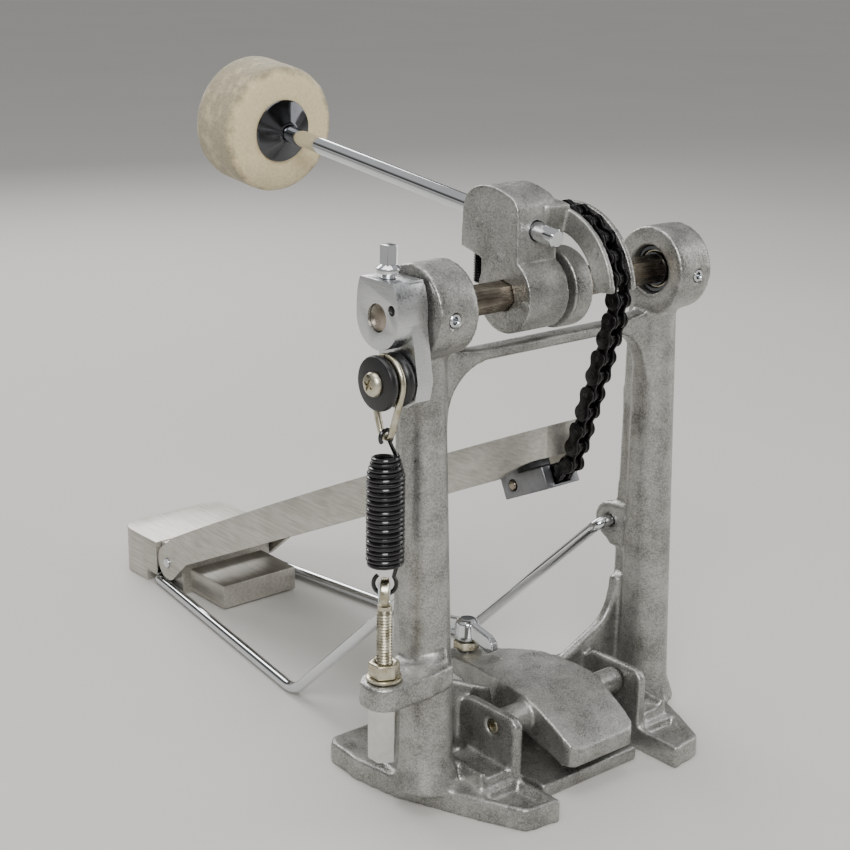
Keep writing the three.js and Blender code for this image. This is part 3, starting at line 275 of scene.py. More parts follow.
# ---- Bearings
# A small steel ball bearing is pressed into each housing and sits back from its face. Its steel races are drawn
# in dark black nickel as painted shade for the deep bore, and eleven balls run in a pressed cage.
def along_x(x, y, z):
    """A place whose Z axis lies along +X."""
    return Matrix.Translation((x, y, z)) @ Matrix.Rotation(math.pi / 2, 4, "Y")


def middle(node):
    """The middle of a node's box."""
    low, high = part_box(node)
    return (low + high) / 2


chrome, tree, shader, place = begin("bright_chrome_plate", Metallic=1.0)
haze = add(tree, "ShaderNodeTexNoise", {"Vector": place, "Scale": 1 / (9 * MM), "Detail": 3.0})
tint = add(tree, "ShaderNodeMix", {0: haze.outputs["Fac"], 6: linear("cfd1d4"), 7: linear("e0e2e5")},
           data_type="RGBA")
gloss = add(tree, "ShaderNodeMapRange", {0: haze.outputs["Fac"], 1: 0.35, 2: 0.7, 3: 0.05, 4: 0.13})
feed(tree, shader, Base_Color=tint.outputs[2], Roughness=gloss.outputs[0])

nickel_and_bore_shade, tree, shader, place = begin("black_nickel_plate_and_bore_shade", Metallic=1.0)
smoke = add(tree, "ShaderNodeTexNoise", {"Vector": place, "Scale": 1 / (5 * MM), "Detail": 3.0})
tint = add(tree, "ShaderNodeMix", {0: smoke.outputs["Fac"], 6: linear("48494c"), 7: linear("626367")},
           data_type="RGBA")
gloss = add(tree, "ShaderNodeMapRange", {0: smoke.outputs["Fac"], 1: 0.3, 2: 0.7, 3: 0.06, 4: 0.16})
feed(tree, shader, Base_Color=tint.outputs[2], Roughness=gloss.outputs[0])

zinc, tree, shader, place = begin("yellow_zinc_plate", Metallic=1.0)
stain = add(tree, "ShaderNodeTexNoise", {"Vector": place, "Scale": 1 / (4 * MM), "Detail": 5.0})
amber = add(tree, "ShaderNodeMapRange", {0: stain.outputs["Fac"], 1: 0.35, 2: 0.65})
tint = add(tree, "ShaderNodeMix", {0: amber.outputs[0], 6: linear("a89f86"), 7: linear("d6d1be")},
           data_type="RGBA")
gloss = add(tree, "ShaderNodeMapRange", {0: stain.outputs["Fac"], 1: 0.3, 2: 0.7, 3: 0.2, 4: 0.38})
scuff = add(tree, "ShaderNodeBump", {"Height": stain.outputs["Fac"], "Strength": 0.25, "Distance": 0.1 * MM})
feed(tree, shader, Base_Color=tint.outputs[2], Roughness=gloss.outputs[0], Normal=scuff.outputs[0])

BEARING_BORE, INNER_RACE, OUTER_RACE, BEARING_R, RACE_HALF = 5.9, 6.7, 7.9, 9.5, 2.6
BALLS, BALL_R, BALL_CIRCLE_R = 11, 0.55, 7.3
for side in ("left", "right"):
    at = middle(f"bearing_outer_ring_{side}")
    # Both races take the dark black nickel as painted shade for the bore; it is not their own colour.
    outer = turned([(OUTER_RACE, -RACE_HALF), (BEARING_R - 0.4, -RACE_HALF), (BEARING_R, -RACE_HALF + 0.4),
                    (BEARING_R, RACE_HALF - 0.4), (BEARING_R - 0.4, RACE_HALF), (OUTER_RACE, RACE_HALF),
                    (OUTER_RACE, -RACE_HALF)], along_x(*at))
    fit(f"outer_race_{side}", outer, nickel_and_bore_shade, "frame", "chrome", f"bearing_outer_ring_{side}")
    inner = turned([(BEARING_BORE, -RACE_HALF), (INNER_RACE, -RACE_HALF), (INNER_RACE, RACE_HALF),
                    (BEARING_BORE, RACE_HALF), (BEARING_BORE, -RACE_HALF)], along_x(*at))
    fit(f"inner_race_{side}", inner, nickel_and_bore_shade, "axle", "chrome", f"bearing_inner_ring_{side}")
    balls = []
    for k in range(BALLS):
        ball = bmesh.new()
        bmesh.ops.create_icosphere(ball, subdivisions=2, radius=BALL_R * MM)
        out = Matrix.Translation((0, BALL_CIRCLE_R * MM, 0))
        spoke = Matrix.Rotation(2 * math.pi * k / BALLS, 4, "X") @ out
        bmesh.ops.transform(ball, matrix=Matrix.Translation(at) @ spoke, verts=ball.verts)
        balls.append(ball)
    cage = turned([(7.1, -1.4), (7.5, -1.4), (7.5, 1.4), (7.1, 1.4), (7.1, -1.4)], along_x(*at))
    fit(f"ball_cage_{side}", together(cage, *balls), zinc, "frame", "zinc_plate", f"bearing_ball_cage_{side}")


# ---- Hex axle
# A drawn hexagonal steel bar, left bare, so it is dull and slightly brown. Its end is turned round for the
# rocker.
bare_steel, tree, shader, place = begin("bare_drawn_steel", Metallic=1.0)
# Drawing marks run along the bar: the pattern is pulled out 20 times along X.
drawn = add(tree, "ShaderNodeMapping", {"Vector": place, "Scale": (50, 1000, 1000)})
marks = add(tree, "ShaderNodeTexNoise", {"Vector": drawn.outputs[0], "Scale": 1.2, "Detail": 3.0})
patch = add(tree, "ShaderNodeTexNoise", {"Vector": place, "Scale": 1 / (6 * MM), "Detail": 4.0})
scratch = add(tree, "ShaderNodeBump", {"Height": marks.outputs["Fac"], "Strength": 0.2,
                                       "Distance": 0.05 * MM})
tarnish = add(tree, "ShaderNodeMapRange", {0: patch.outputs["Fac"], 1: 0.35, 2: 0.65})
tint = add(tree, "ShaderNodeMix", {0: tarnish.outputs[0], 6: linear("7b7064"), 7: linear("a89f91")},
           data_type="RGBA")
gloss = add(tree, "ShaderNodeMapRange", {0: marks.outputs["Fac"], 1: 0.3, 2: 0.7, 3: 0.2, 4: 0.36})
feed(tree, shader, Base_Color=tint.outputs[2], Roughness=gloss.outputs[0], Normal=scratch.outputs[0])


def eased(node, width, segments=2, corner=32):
    """The node's shape with its edges broken by a small bevel, in millimetres."""
    bm = bench_copy(node)
    bmesh.ops.dissolve_limit(bm, angle_limit=math.radians(1), verts=bm.verts, edges=bm.edges)
    edges = [e for e in bm.edges if e.is_manifold and e.calc_face_angle(0) > math.radians(corner)]
    bmesh.ops.bevel(bm, geom=edges, offset=width * MM, affect="EDGES", segments=segments, profile=0.5,
                    material=-1, clamp_overlap=True)
    return bm


fit("drawn_axle", eased("hex_axle", 0.15), bare_steel, "axle", "dull_steel", "hex_axle")

# ---- Small screws of the frame
# Bright plated grub screws hold the bearings, and zinc-plated screws are the clamp's pivots. Both are turned
# from steel with a socket in the end.
for side in ("left", "right"):
    low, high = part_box(f"housing_set_screw_{side}")
    mouth = Matrix.Translation(((low.x + high.x) / 2, low.y, (low.z + high.z) / 2))
    grub = turned([(0, -3.6), (1.35, -3.6), (1.35, -0.3), (1.6, 0), (2.2, 0), (2.5, -0.3), (2.5, -4),
                   (0, -4)], mouth @ Matrix.Rotation(math.pi / 2, 4, "X"), 32)
    fit(f"housing_grub_{side}", grub, chrome, "frame", "dull_steel", f"housing_set_screw_{side}")
    fit(f"pivot_screw_{side}", eased(f"clamp_pivot_screw_{side}", 0.3), zinc, "frame", "zinc_plate",
        f"clamp_pivot_screw_{side}")

# ---- Beater clamp bolt
# A rolled steel screw in oiled black oxide that pinches the shaft from below. Its thread shows under the
# holder.
black_oxide, tree, shader, place = begin("oiled_black_oxide_steel", Metallic=0.85)
film = add(tree, "ShaderNodeTexNoise", {"Vector": place, "Scale": 1 / (3 * MM), "Detail": 5.0})
wipe = add(tree, "ShaderNodeBump", {"Height": film.outputs["Fac"], "Strength": 0.2, "Distance": 0.1 * MM})
oil = add(tree, "ShaderNodeMapRange", {0: film.outputs["Fac"], 1: 0.35, 2: 0.7})
tint = add(tree, "ShaderNodeMix", {0: oil.outputs[0], 6: linear("171718"), 7: linear("343332")},
           data_type="RGBA")
gloss = add(tree, "ShaderNodeMapRange", {0: film.outputs["Fac"], 1: 0.3, 2: 0.7, 3: 0.14, 4: 0.3})
feed(tree, shader, Base_Color=tint.outputs[2], Roughness=gloss.outputs[0], Normal=wipe.outputs[0])


def thread(radius, low, high, pitch=1.0, depth=0.45):
    """Profile points of a thread, drawn as rings one pitch apart instead of a helix."""
    points = []
    for k in range(int((high - low) / pitch)):
        points += [(radius - depth, low + k * pitch), (radius, low + (k + 0.5) * pitch)]
    return points + [(radius - depth, high)]


def upright(node):
    """A place at a node's middle, with heights counted from its lowest point."""
    low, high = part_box(node)
    return Matrix.Translation(((low.x + high.x) / 2, (low.y + high.y) / 2, low.z)), (high.z - low.z) / MM


place, height = upright("beater_clamp_bolt")
bolt = [(0, 0), (2.1, 0), (2.7, 0.6), (2.7, 0.9), *thread(2.8, 1.0, height - 0.4, 1.0, 0.5), (0, height)]
fit("clamp_bolt", turned(bolt, place, 32), black_oxide, "axle", "black_oxide", "beater_clamp_bolt")

# ---- Beater shaft and collar
# A ground and chromed steel rod with chamfered ends. The collar is a spun steel cone plated in black nickel,
# and it backs the felt.
slide = next(joint for joint in frame["joints"] if joint["name"] == "beater_height")
LEAN = Vector(slide["axis"]).to_track_quat("Z", "Y").to_matrix().to_4x4()
felt_middle = middle("beater_felt")


def on_shaft(distance):
    """A place on the shaft, so many millimetres from the middle of the felt, with Z along the shaft."""
    return Matrix.Translation(felt_middle) @ LEAN @ Matrix.Translation((0, 0, distance * MM))


SHAFT_R, SHAFT_FRONT, SHAFT_END, FELT_HALF = 3.5, -186.5, 5.2, 13.5
shaft = turned([(0, SHAFT_FRONT), (SHAFT_R - 0.6, SHAFT_FRONT), (SHAFT_R, SHAFT_FRONT + 0.6),
                (SHAFT_R, SHAFT_END - 0.4), (SHAFT_R - 0.4, SHAFT_END), (0, SHAFT_END)], on_shaft(0), 48)
fit("chromed_shaft", shaft, chrome, "beater", "chrome", "beater_shaft")

COLLAR = [(3.8, -5.6), (4.4, -5.6), (5.1, -5.2), (12.8, -1.1), (13.4, -0.9), (13.6, -0.6), (13.5, -0.1),
          (3.8, 0), (3.8, -5.6)]
fit("nickel_collar", turned(COLLAR, on_shaft(-FELT_HALF - 0.3)), nickel_and_bore_shade, "beater", "chrome",
    "beater_collar")

# ---- Beater felt
# A cylinder of hard pressed wool felt, cut from thick sheet. Its cut faces are cream, and drawn darker towards
# the bottom of the felt. Its side is greyer and fuzzier.
felt, tree, shader, place = begin("pressed_wool_felt", Roughness=0.95, Sheen_Weight=0.3, Sheen_Roughness=0.6)
fibres = add(tree, "ShaderNodeTexNoise", {"Vector": place, "Scale": 1 / (1.3 * MM), "Detail": 8.0,
                                          "Roughness": 0.75})
clumps = add(tree, "ShaderNodeTexNoise", {"Vector": place, "Scale": 1 / (7 * MM), "Detail": 5.0,
                                          "Roughness": 0.6})
from_felt = add(tree, "ShaderNodeVectorMath", {0: place, 1: felt_middle}, operation="SUBTRACT")
off_axis = add(tree, "ShaderNodeVectorMath", {0: from_felt.outputs[0], 1: LEAN.col[2].xyz},
               operation="CROSS_PRODUCT")
reach = add(tree, "ShaderNodeVectorMath", {0: off_axis.outputs[0]}, operation="LENGTH")
height = add(tree, "ShaderNodeSeparateXYZ", {"Vector": from_felt.outputs[0]})
ragged = add(tree, "ShaderNodeMapRange", {0: clumps.outputs["Fac"], 3: -4 * MM, 4: 4 * MM})
wandering = add(tree, "ShaderNodeMath", {0: reach.outputs["Value"], 1: ragged.outputs[0]}, operation="ADD")
on_side = add(tree, "ShaderNodeMapRange", {0: wandering.outputs[0], 1: 24.3 * MM, 2: 27.4 * MM})
# The lower part of the felt is drawn darker, the more so the lower it lies.
lowness = add(tree, "ShaderNodeMath", {0: height.outputs["Z"], 1: ragged.outputs[0]}, operation="ADD")
low_edge = add(tree, "ShaderNodeMapRange", {0: lowness.outputs[0], 1: -12 * MM, 2: -26 * MM, 4: 0.55})
greyed = add(tree, "ShaderNodeMath", {0: on_side.outputs[0], 1: low_edge.outputs[0]}, operation="MAXIMUM")
weave = add(tree, "ShaderNodeMapRange", {0: fibres.outputs["Fac"], 1: 0.3, 2: 0.7})
cream = add(tree, "ShaderNodeMix", {0: weave.outputs[0], 6: linear("d6c294"), 7: linear("f0e0b6")},
            data_type="RGBA")
drab = add(tree, "ShaderNodeMix", {0: weave.outputs[0], 6: linear("80755e"), 7: linear("b5a887")},
           data_type="RGBA")
tint = add(tree, "ShaderNodeMix", {0: greyed.outputs[0], 6: cream.outputs[2], 7: drab.outputs[2]},
           data_type="RGBA")
fuzz = add(tree, "ShaderNodeBump", {"Height": fibres.outputs["Fac"], "Strength": 0.7, "Distance": 0.5 * MM})
feed(tree, shader, Base_Color=tint.outputs[2], Normal=fuzz.outputs[0])

FELT_R = 27.4
face_rings = [(radius, -13.5) for radius in range(6, 23, 3)]
rim = [(FELT_R - 3, -13.4), (FELT_R - 1.6, -13.0), (FELT_R - 0.6, -12.2), (FELT_R - 0.1, -11.2)]
side = [(FELT_R, -10 + 2 * k) for k in range(11)]
back = [(FELT_R - 0.2, 11.4), (FELT_R - 0.9, 12.5), (FELT_R - 2.2, 13.2), (FELT_R - 4, 13.5)]
pad = turned([(3.8, -13.5), *face_rings, *rim, *side, *back, (15, 13.5), (8, 13.5), (0, 13.5), (0, 5.4),
              (3.8, 5.4), (3.8, -13.5)], on_shaft(0), 120)
for vert in pad.verts:
    fuzzy = noise.noise(vert.co / (2.2 * MM)) * 0.14 + noise.noise(vert.co / (8 * MM)) * 0.2
    vert.co += (vert.co - felt_middle).normalized() * fuzzy * MM
fit("wool_beater", pad, felt, "beater", "cream_felt", "beater_felt", sharp=60)

# ---- Spring rocker
# A machined aluminium block clamped on the axle's end and brushed along its faces. Its arm carries the
# roller, and a drum-key screw and a grub screw hold it.
brushed, tree, shader, place = begin("brushed_machined_aluminium", Metallic=1.0, Anisotropic=0.4)
pulled = add(tree, "ShaderNodeMapping", {"Vector": place, "Scale": (1500, 60, 1500)})
lines = add(tree, "ShaderNodeTexNoise", {"Vector": pulled.outputs[0], "Scale": 1.0, "Detail": 4.0})
groove = add(tree, "ShaderNodeBump", {"Height": lines.outputs["Fac"], "Strength": 0.35,
                                      "Distance": 0.05 * MM})
tint = add(tree, "ShaderNodeMix", {0: lines.outputs["Fac"], 6: linear("bdbfc0"), 7: linear("dedfe0")},
           data_type="RGBA")
gloss = add(tree, "ShaderNodeMapRange", {0: lines.outputs["Fac"], 1: 0.3, 2: 0.7, 3: 0.24, 4: 0.38})
feed(tree, shader, Base_Color=tint.outputs[2], Roughness=gloss.outputs[0], Normal=groove.outputs[0])
fit("brushed_rocker", eased("spring_rocker", 0.7, 3), brushed, "axle", "brushed_aluminium", "spring_rocker")
fit("drum_key_screw", eased("rocker_key_screw", 0.4), chrome, "axle", "chrome", "rocker_key_screw")
fit("rocker_grub", eased("rocker_grub_screw", 0.3), black_oxide, "axle", "black_oxide", "rocker_grub_screw")

# ---- Spring roller and its screw
# The roller is turned from black nylon with a groove for the link. A zinc-plated pan-head screw with a cross
# recess is its pin.
nylon, tree, shader, place = begin("turned_black_nylon", IOR=1.53)
rings = add(tree, "ShaderNodeTexNoise", {"Vector": place, "Scale": 1 / (1.5 * MM), "Detail": 4.0})
lathe_marks = add(tree, "ShaderNodeBump", {"Height": rings.outputs["Fac"], "Strength": 0.2,
                                           "Distance": 0.1 * MM})
tint = add(tree, "ShaderNodeMix", {0: rings.outputs["Fac"], 6: linear("0f0f10"), 7: linear("202021")},
           data_type="RGBA")
gloss = add(tree, "ShaderNodeMapRange", {0: rings.outputs["Fac"], 1: 0.3, 2: 0.7, 3: 0.26, 4: 0.42})
feed(tree, shader, Base_Color=tint.outputs[2], Roughness=gloss.outputs[0], Normal=lathe_marks.outputs[0])
half_profile = [(2.9, -5.5), (8.9, -5.5), (9.6, -5.25), (9.9, -4.7), (10, -3.9), (9.9, -3.0), (9.3, -2.1),
                (8.2, -1.5), (7.6, -0.9)]
roller = half_profile + [(radius, -height) for radius, height in reversed(half_profile)] + [half_profile[0]]
roller_at = middle("spring_roller")
fit("nylon_roller", turned(roller, along_x(*roller_at), 72), nylon, "roller", "black_nylon", "spring_roller")

HEAD_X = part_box("roller_screw")[0].x
head = turned([(0, 0), (1.6, 0.05), (3.0, 0.45), (4.0, 1.1), (4.5, 2.0), (4.6, 2.7), (2.6, 2.8),
               *[(radius, height) for radius, height in thread(2.6, 3.0, 19, 0.8, 0.35)], (0, 19.4)],
              along_x(HEAD_X, roller_at.y, roller_at.z), 48)
for turn_by in (0, math.pi / 2):
    blade = bmesh.new()
    bmesh.ops.create_cube(blade, size=1.0)
    sized = Matrix.Diagonal((1.6 * MM, 0.9 * MM, 4.6 * MM, 1))
    tilt = Matrix.Rotation(turn_by + 0.4, 4, "X")
    slot_at = Matrix.Translation((HEAD_X + 0.5 * MM, roller_at.y, roller_at.z))
    bmesh.ops.transform(blade, matrix=slot_at @ tilt @ sized, verts=blade.verts)
    cutter = bpy.data.objects.new("recess", bpy.data.meshes.new("recess"))
    blade.to_mesh(cutter.data)
    blade.free()
    body = bpy.data.objects.new("head", bpy.data.meshes.new("head"))
    head.to_mesh(body.data)
    scene.collection.objects.link(cutter)
    scene.collection.objects.link(body)
    sink = body.modifiers.new("recess", "BOOLEAN")
    sink.object = cutter
    sink.operation = "DIFFERENCE"
    sunk = bpy.data.meshes.new_from_object(body.evaluated_get(bpy.context.evaluated_depsgraph_get()))
    head.clear()
    head.from_mesh(sunk)
    bpy.data.objects.remove(body)
    bpy.data.objects.remove(cutter)
fit("roller_pan_screw", head, zinc, "axle", "zinc_plate", "roller_screw")


# ---- Wire link
# A teardrop of bent spring wire, zinc plated. It hangs in the roller's groove, and its ends meet over the
# roller.
def bent_wire(points, radius, sides=3, closed=False):
    """Round wire along a run of points in metres; radius is in millimetres."""
    curve = bpy.data.curves.new("wire", "CURVE")
    curve.dimensions = "3D"
    curve.bevel_depth = radius * MM
    curve.bevel_resolution = sides
    curve.use_fill_caps = True
    line = curve.splines.new("POLY")
    line.points.add(len(points) - 1)
    for point, where in zip(line.points, points):
        point.co = (*where, 1)
    line.use_cyclic_u = closed
    holder = bpy.data.objects.new("wire", curve)
    scene.collection.objects.link(holder)
    mesh = bpy.data.meshes.new_from_object(holder.evaluated_get(bpy.context.evaluated_depsgraph_get()))
    bpy.data.objects.remove(holder)
    bm = bmesh.new()
    bm.from_mesh(mesh)
    bmesh.ops.remove_doubles(bm, verts=bm.verts, dist=1e-6)
    bmesh.ops.recalc_face_normals(bm, faces=bm.faces)
    return bm


GROOVE_R, EYE_R, EYE_DROP, LINK_WIRE_R = 8.95, 3.4, 17, 1.25
hang = math.asin((GROOVE_R - EYE_R) / EYE_DROP)


def around(radius, drop, angle):
    """A point of the link, on an arc about the roller or about the eye below it."""
    return roller_at + Vector((0, radius * math.cos(angle), radius * math.sin(angle) - drop)) * MM


loop = [around(GROOVE_R, 0, math.pi / 2 - 0.03 - (math.pi / 2 + hang - 0.03) * k / 24) for k in range(25)]
loop += [around(EYE_R, EYE_DROP, -hang - (math.pi - 2 * hang) * k / 16) for k in range(17)]
loop += [around(GROOVE_R, 0, math.pi + hang - (math.pi / 2 + hang - 0.03) * k / 24) for k in range(25)]
fit("link_wire", bent_wire(loop, LINK_WIRE_R, 5), zinc, "link", "zinc_plate", "wire_link")

# ---- Tension spring
# Twenty-four close turns of lacquered music wire between two hooks, narrower at the top. It stretches between
# the link and the eye bolt.
lacquer, tree, shader, place = begin("black_lacquered_spring_steel", IOR=1.5, Coat_Weight=0.3,
                                     Coat_Roughness=0.05)
speck = add(tree, "ShaderNodeTexNoise", {"Vector": place, "Scale": 1 / (2 * MM), "Detail": 4.0})
tint = add(tree, "ShaderNodeMix", {0: speck.outputs["Fac"], 6: linear("09090a"), 7: linear("171718")},
           data_type="RGBA")
gloss = add(tree, "ShaderNodeMapRange", {0: speck.outputs["Fac"], 1: 0.3, 2: 0.7, 3: 0.12, 4: 0.26})
feed(tree, shader, Base_Color=tint.outputs[2], Roughness=gloss.outputs[0])
SPRING_TURNS, SPRING_WIRE_R, COIL_R, COIL_LOW, COIL_HIGH = 24, 0.83, 6.3, 0.109, 0.1505
EYE_TURN = math.radians(-40)
LOW_HOOK, LOW_HOOK_R, HIGH_HOOK, HIGH_HOOK_R = 0.1018, 4.2, 0.1576, 2.65
axis_x, axis_y = roller_at.x, roller_at.y
path = []
for angle in range(130, 401, 15):
    a = math.radians(angle)
    out = LOW_HOOK_R * MM * math.cos(a)
    path.append(Vector((axis_x + out * math.cos(EYE_TURN), axis_y + out * math.sin(EYE_TURN),
                        LOW_HOOK + LOW_HOOK_R * MM * math.sin(a))))
for k in range(SPRING_TURNS * 24 + 1):
    t = k / (SPRING_TURNS * 24)
    a = EYE_TURN + (2 * math.pi * SPRING_TURNS - EYE_TURN) * t
    radius = COIL_R * MM * min(1, 0.68 + 12 * t, 0.68 + 1.9 * (1 - t))
    path.append(Vector((axis_x + radius * math.cos(a), axis_y + radius * math.sin(a),
                        COIL_LOW + (COIL_HIGH - COIL_LOW) * t)))
for angle in range(-50, 221, 15):
    a = math.radians(angle)
    path.append(Vector((axis_x + HIGH_HOOK_R * MM * math.cos(a), axis_y,
                        HIGH_HOOK + HIGH_HOOK_R * MM * math.sin(a))))
spring = fit("coil_spring", bent_wire(path, SPRING_WIRE_R, 3), lacquer, "spring", "spring_black",
             "tension_spring")
spring.parent = None
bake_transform(spring)

# ---- Eye bolt, bush and nuts
# The adjuster is a zinc-plated eye bolt with a nylon bush. A washer and lock nut hold it on the lug, and a
# long nickel-plated nut draws it down from below.
EYE_Z = middle("eye_bush").z
bolt_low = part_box("eye_bolt")[0].z
shank = (EYE_Z - bolt_low) / MM - 5.2
place = Matrix.Translation((axis_x, axis_y, bolt_low))
stem = turned([(0, 0), (2.4, 0), *thread(3.0, 0.6, shank - 1.6, 1.15, 0.5), (2.7, shank - 1), (2.6, shank),
               (0, shank)], place, 40)
EYE_OUTER, EYE_INNER, EYE_HALF = 5.4, 3.5, 1.6
eye_at = Matrix.Translation((axis_x, axis_y, EYE_Z)) @ Matrix.Rotation(EYE_TURN, 4, "Z") @ along_x(0, 0, 0)
eye = turned([(EYE_INNER, -EYE_HALF), (EYE_OUTER - 0.5, -EYE_HALF), (EYE_OUTER, -EYE_HALF + 0.5),
              (EYE_OUTER, EYE_HALF - 0.5), (EYE_OUTER - 0.5, EYE_HALF), (EYE_INNER, EYE_HALF),
              (EYE_INNER, -EYE_HALF)], eye_at, 48)
fit("adjuster_eye_bolt", together(stem, eye), zinc, "frame", "zinc_plate", "eye_bolt")

clear, tree, shader, place = begin("milky_nylon", IOR=1.53, Subsurface_Weight=0.3)
mist = add(tree, "ShaderNodeTexNoise", {"Vector": place, "Scale": 1 / (2 * MM), "Detail": 3.0})
tint = add(tree, "ShaderNodeMix", {0: mist.outputs["Fac"], 6: linear("c9ccc8"), 7: linear("e6e8e4")},
           data_type="RGBA")
gloss = add(tree, "ShaderNodeMapRange", {0: mist.outputs["Fac"], 1: 0.3, 2: 0.7, 3: 0.25, 4: 0.4})
feed(tree, shader, Base_Color=tint.outputs[2], Roughness=gloss.outputs[0])
bush = turned([(2.3, -2.4), (3.8, -2.4), (4.1, -2.2), (4.1, -1.9), (3.2, -1.9), (3.2, 2), (2.3, 2),
               (2.3, -2.4)], eye_at, 48)
fit("nylon_bush", bush, clear, "frame", "clear_nylon", "eye_bush")

nickel, tree, shader, place = begin("satin_nickel_plate", Metallic=1.0)
swirl = add(tree, "ShaderNodeTexNoise", {"Vector": place, "Scale": 1 / (2.5 * MM), "Detail": 5.0})
tint = add(tree, "ShaderNodeMix", {0: swirl.outputs["Fac"], 6: linear("c0c0bd"), 7: linear("dddddb")},
           data_type="RGBA")
gloss = add(tree, "ShaderNodeMapRange", {0: swirl.outputs["Fac"], 1: 0.3, 2: 0.7, 3: 0.1, 4: 0.2})
tooling = add(tree, "ShaderNodeBump", {"Height": swirl.outputs["Fac"], "Strength": 0.15,
                                       "Distance": 0.1 * MM})
feed(tree, shader, Base_Color=tint.outputs[2], Roughness=gloss.outputs[0], Normal=tooling.outputs[0])
fit("lug_washer", eased("tension_washer", 0.25), zinc, "frame", "zinc_plate", "tension_washer")
fit("lock_nut", eased("tension_nut", 0.5, 3), zinc, "lock_nut", "zinc_plate", "tension_nut")
fit("long_nut", eased("tension_long_nut", 0.5, 3), nickel, "long_nut", "grey_aluminium", "tension_long_nut")

# ---- Wing bolt and its nut
# A chromed cast wing bolt drives the lever, and its thread runs down to the bridge plate. It turns in a
# zinc-plated nut held in the lever.
fit("chromed_wing_bolt", tumbled("wing_bolt", 0.42, 4), chrome, "wing", "chrome", "wing_bolt", sharp=80)
fit("lever_nut", eased("wing_bolt_nut", 0.45, 3), zinc, "clamp", "zinc_plate", "wing_bolt_nut")


# ---- Radius rod
# One length of chromed steel rod, bent cold into two floor legs that rise to the ears on the posts. It keeps
# the heel and the frame apart.
def rounded(corners, radii, steps=10):
    """A run of points through corners whose bends are rounded off over the given lengths."""
    run = [corners[0]]
    for before, corner, after, reach in zip(corners, corners[1:], corners[2:], radii):
        start = corner + (before - corner).normalized() * reach * MM
        finish = corner + (after - corner).normalized() * reach * MM
        for k in range(steps + 1):
            t = k / steps
            run.append(start * (1 - t) ** 2 + corner * 2 * t * (1 - t) + finish * t ** 2)
    return run + [corners[-1]]


low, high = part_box("radius_rod")
ROD_R, EAR_Y, EAR_Z, BEND_Y = 2.5, 20, 86, 108
half = [Vector((high.x / MM, EAR_Y, EAR_Z)), Vector((47, EAR_Y, EAR_Z)), Vector((50, BEND_Y, ROD_R + 0.5)),
        Vector((28, high.y / MM - ROD_R, ROD_R + 0.5))]
corners = [point * MM for point in half] + [Vector((-p.x, p.y, p.z)) * MM for p in reversed(half)]
rod = bent_wire(rounded(corners, (5, 8, 5, 5, 8, 5)), ROD_R, 6)
fit("chromed_rod", rod, chrome, "frame", "chrome", "radius_rod")

# ---- Heel plate, its pin and the footboard
# Aluminium castings milled at the hinge, satin blasted and then faintly brushed along the board. A plated
# steel pin joins them.
satin, tree, shader, place = begin("satin_aluminium", Metallic=0.9)
# The brushing runs along the board: the pattern is pulled out 15 times along Y.
run = add(tree, "ShaderNodeMapping", {"Vector": place, "Scale": (900, 60, 900)})
nap = add(tree, "ShaderNodeTexNoise", {"Vector": run.outputs[0], "Scale": 1.0, "Detail": 4.0})
wear = add(tree, "ShaderNodeTexNoise", {"Vector": place, "Scale": 1 / (22 * MM), "Detail": 6.0,
                                        "Roughness": 0.6})
brush = add(tree, "ShaderNodeBump", {"Height": nap.outputs["Fac"], "Strength": 0.25, "Distance": 0.05 * MM})
both = add(tree, "ShaderNodeMath", {0: nap.outputs["Fac"], 1: wear.outputs["Fac"]}, operation="ADD")
shade = add(tree, "ShaderNodeMapRange", {0: both.outputs[0], 1: 0.75, 2: 1.25})
tint = add(tree, "ShaderNodeMix", {0: shade.outputs[0], 6: linear("aeaba3"), 7: linear("d0cdc6")},
           data_type="RGBA")
gloss = add(tree, "ShaderNodeMapRange", {0: wear.outputs["Fac"], 1: 0.3, 2: 0.7, 3: 0.38, 4: 0.52})
feed(tree, shader, Base_Color=tint.outputs[2], Roughness=gloss.outputs[0], Normal=brush.outputs[0])
fit("satin_heel_plate", eased("heel_plate", 1.2, 3), satin, "frame", "satin_aluminium", "heel_plate")
fit("hinge_pin", eased("heel_pin", 0.5), chrome, "frame", "zinc_plate", "heel_pin")
fit("satin_footboard", eased("footboard", 0.9, 3), satin, "footboard", "satin_aluminium", "footboard")

# ---- Chain
# Single-row roller chain of 8 mm pitch in oiled black steel, with waisted plates, hollow rollers and riveted
# pins. One run lies on the sector, five links leave it, and a straight run falls to the anchor.
PITCH, PLATE_HALF, PLATE_WALL, INNER_PLATE, OUTER_PLATE, PIN_HALF = 8.0, 3.4, 1.0, 1.4, 2.7, 4.1
joint_at = {joint["name"]: Vector(joint["pos_m"]) for joint in frame["joints"] if "pos_m" in joint}
axle_at = joint_at["axle_turn"]
hinge_pins = [joint_at[f"chain_link_{k}_bend"] for k in range(1, 6)] + [joint_at["chain_span_bend"]]
step = 2 * math.asin(PITCH / 2 / 29.0)


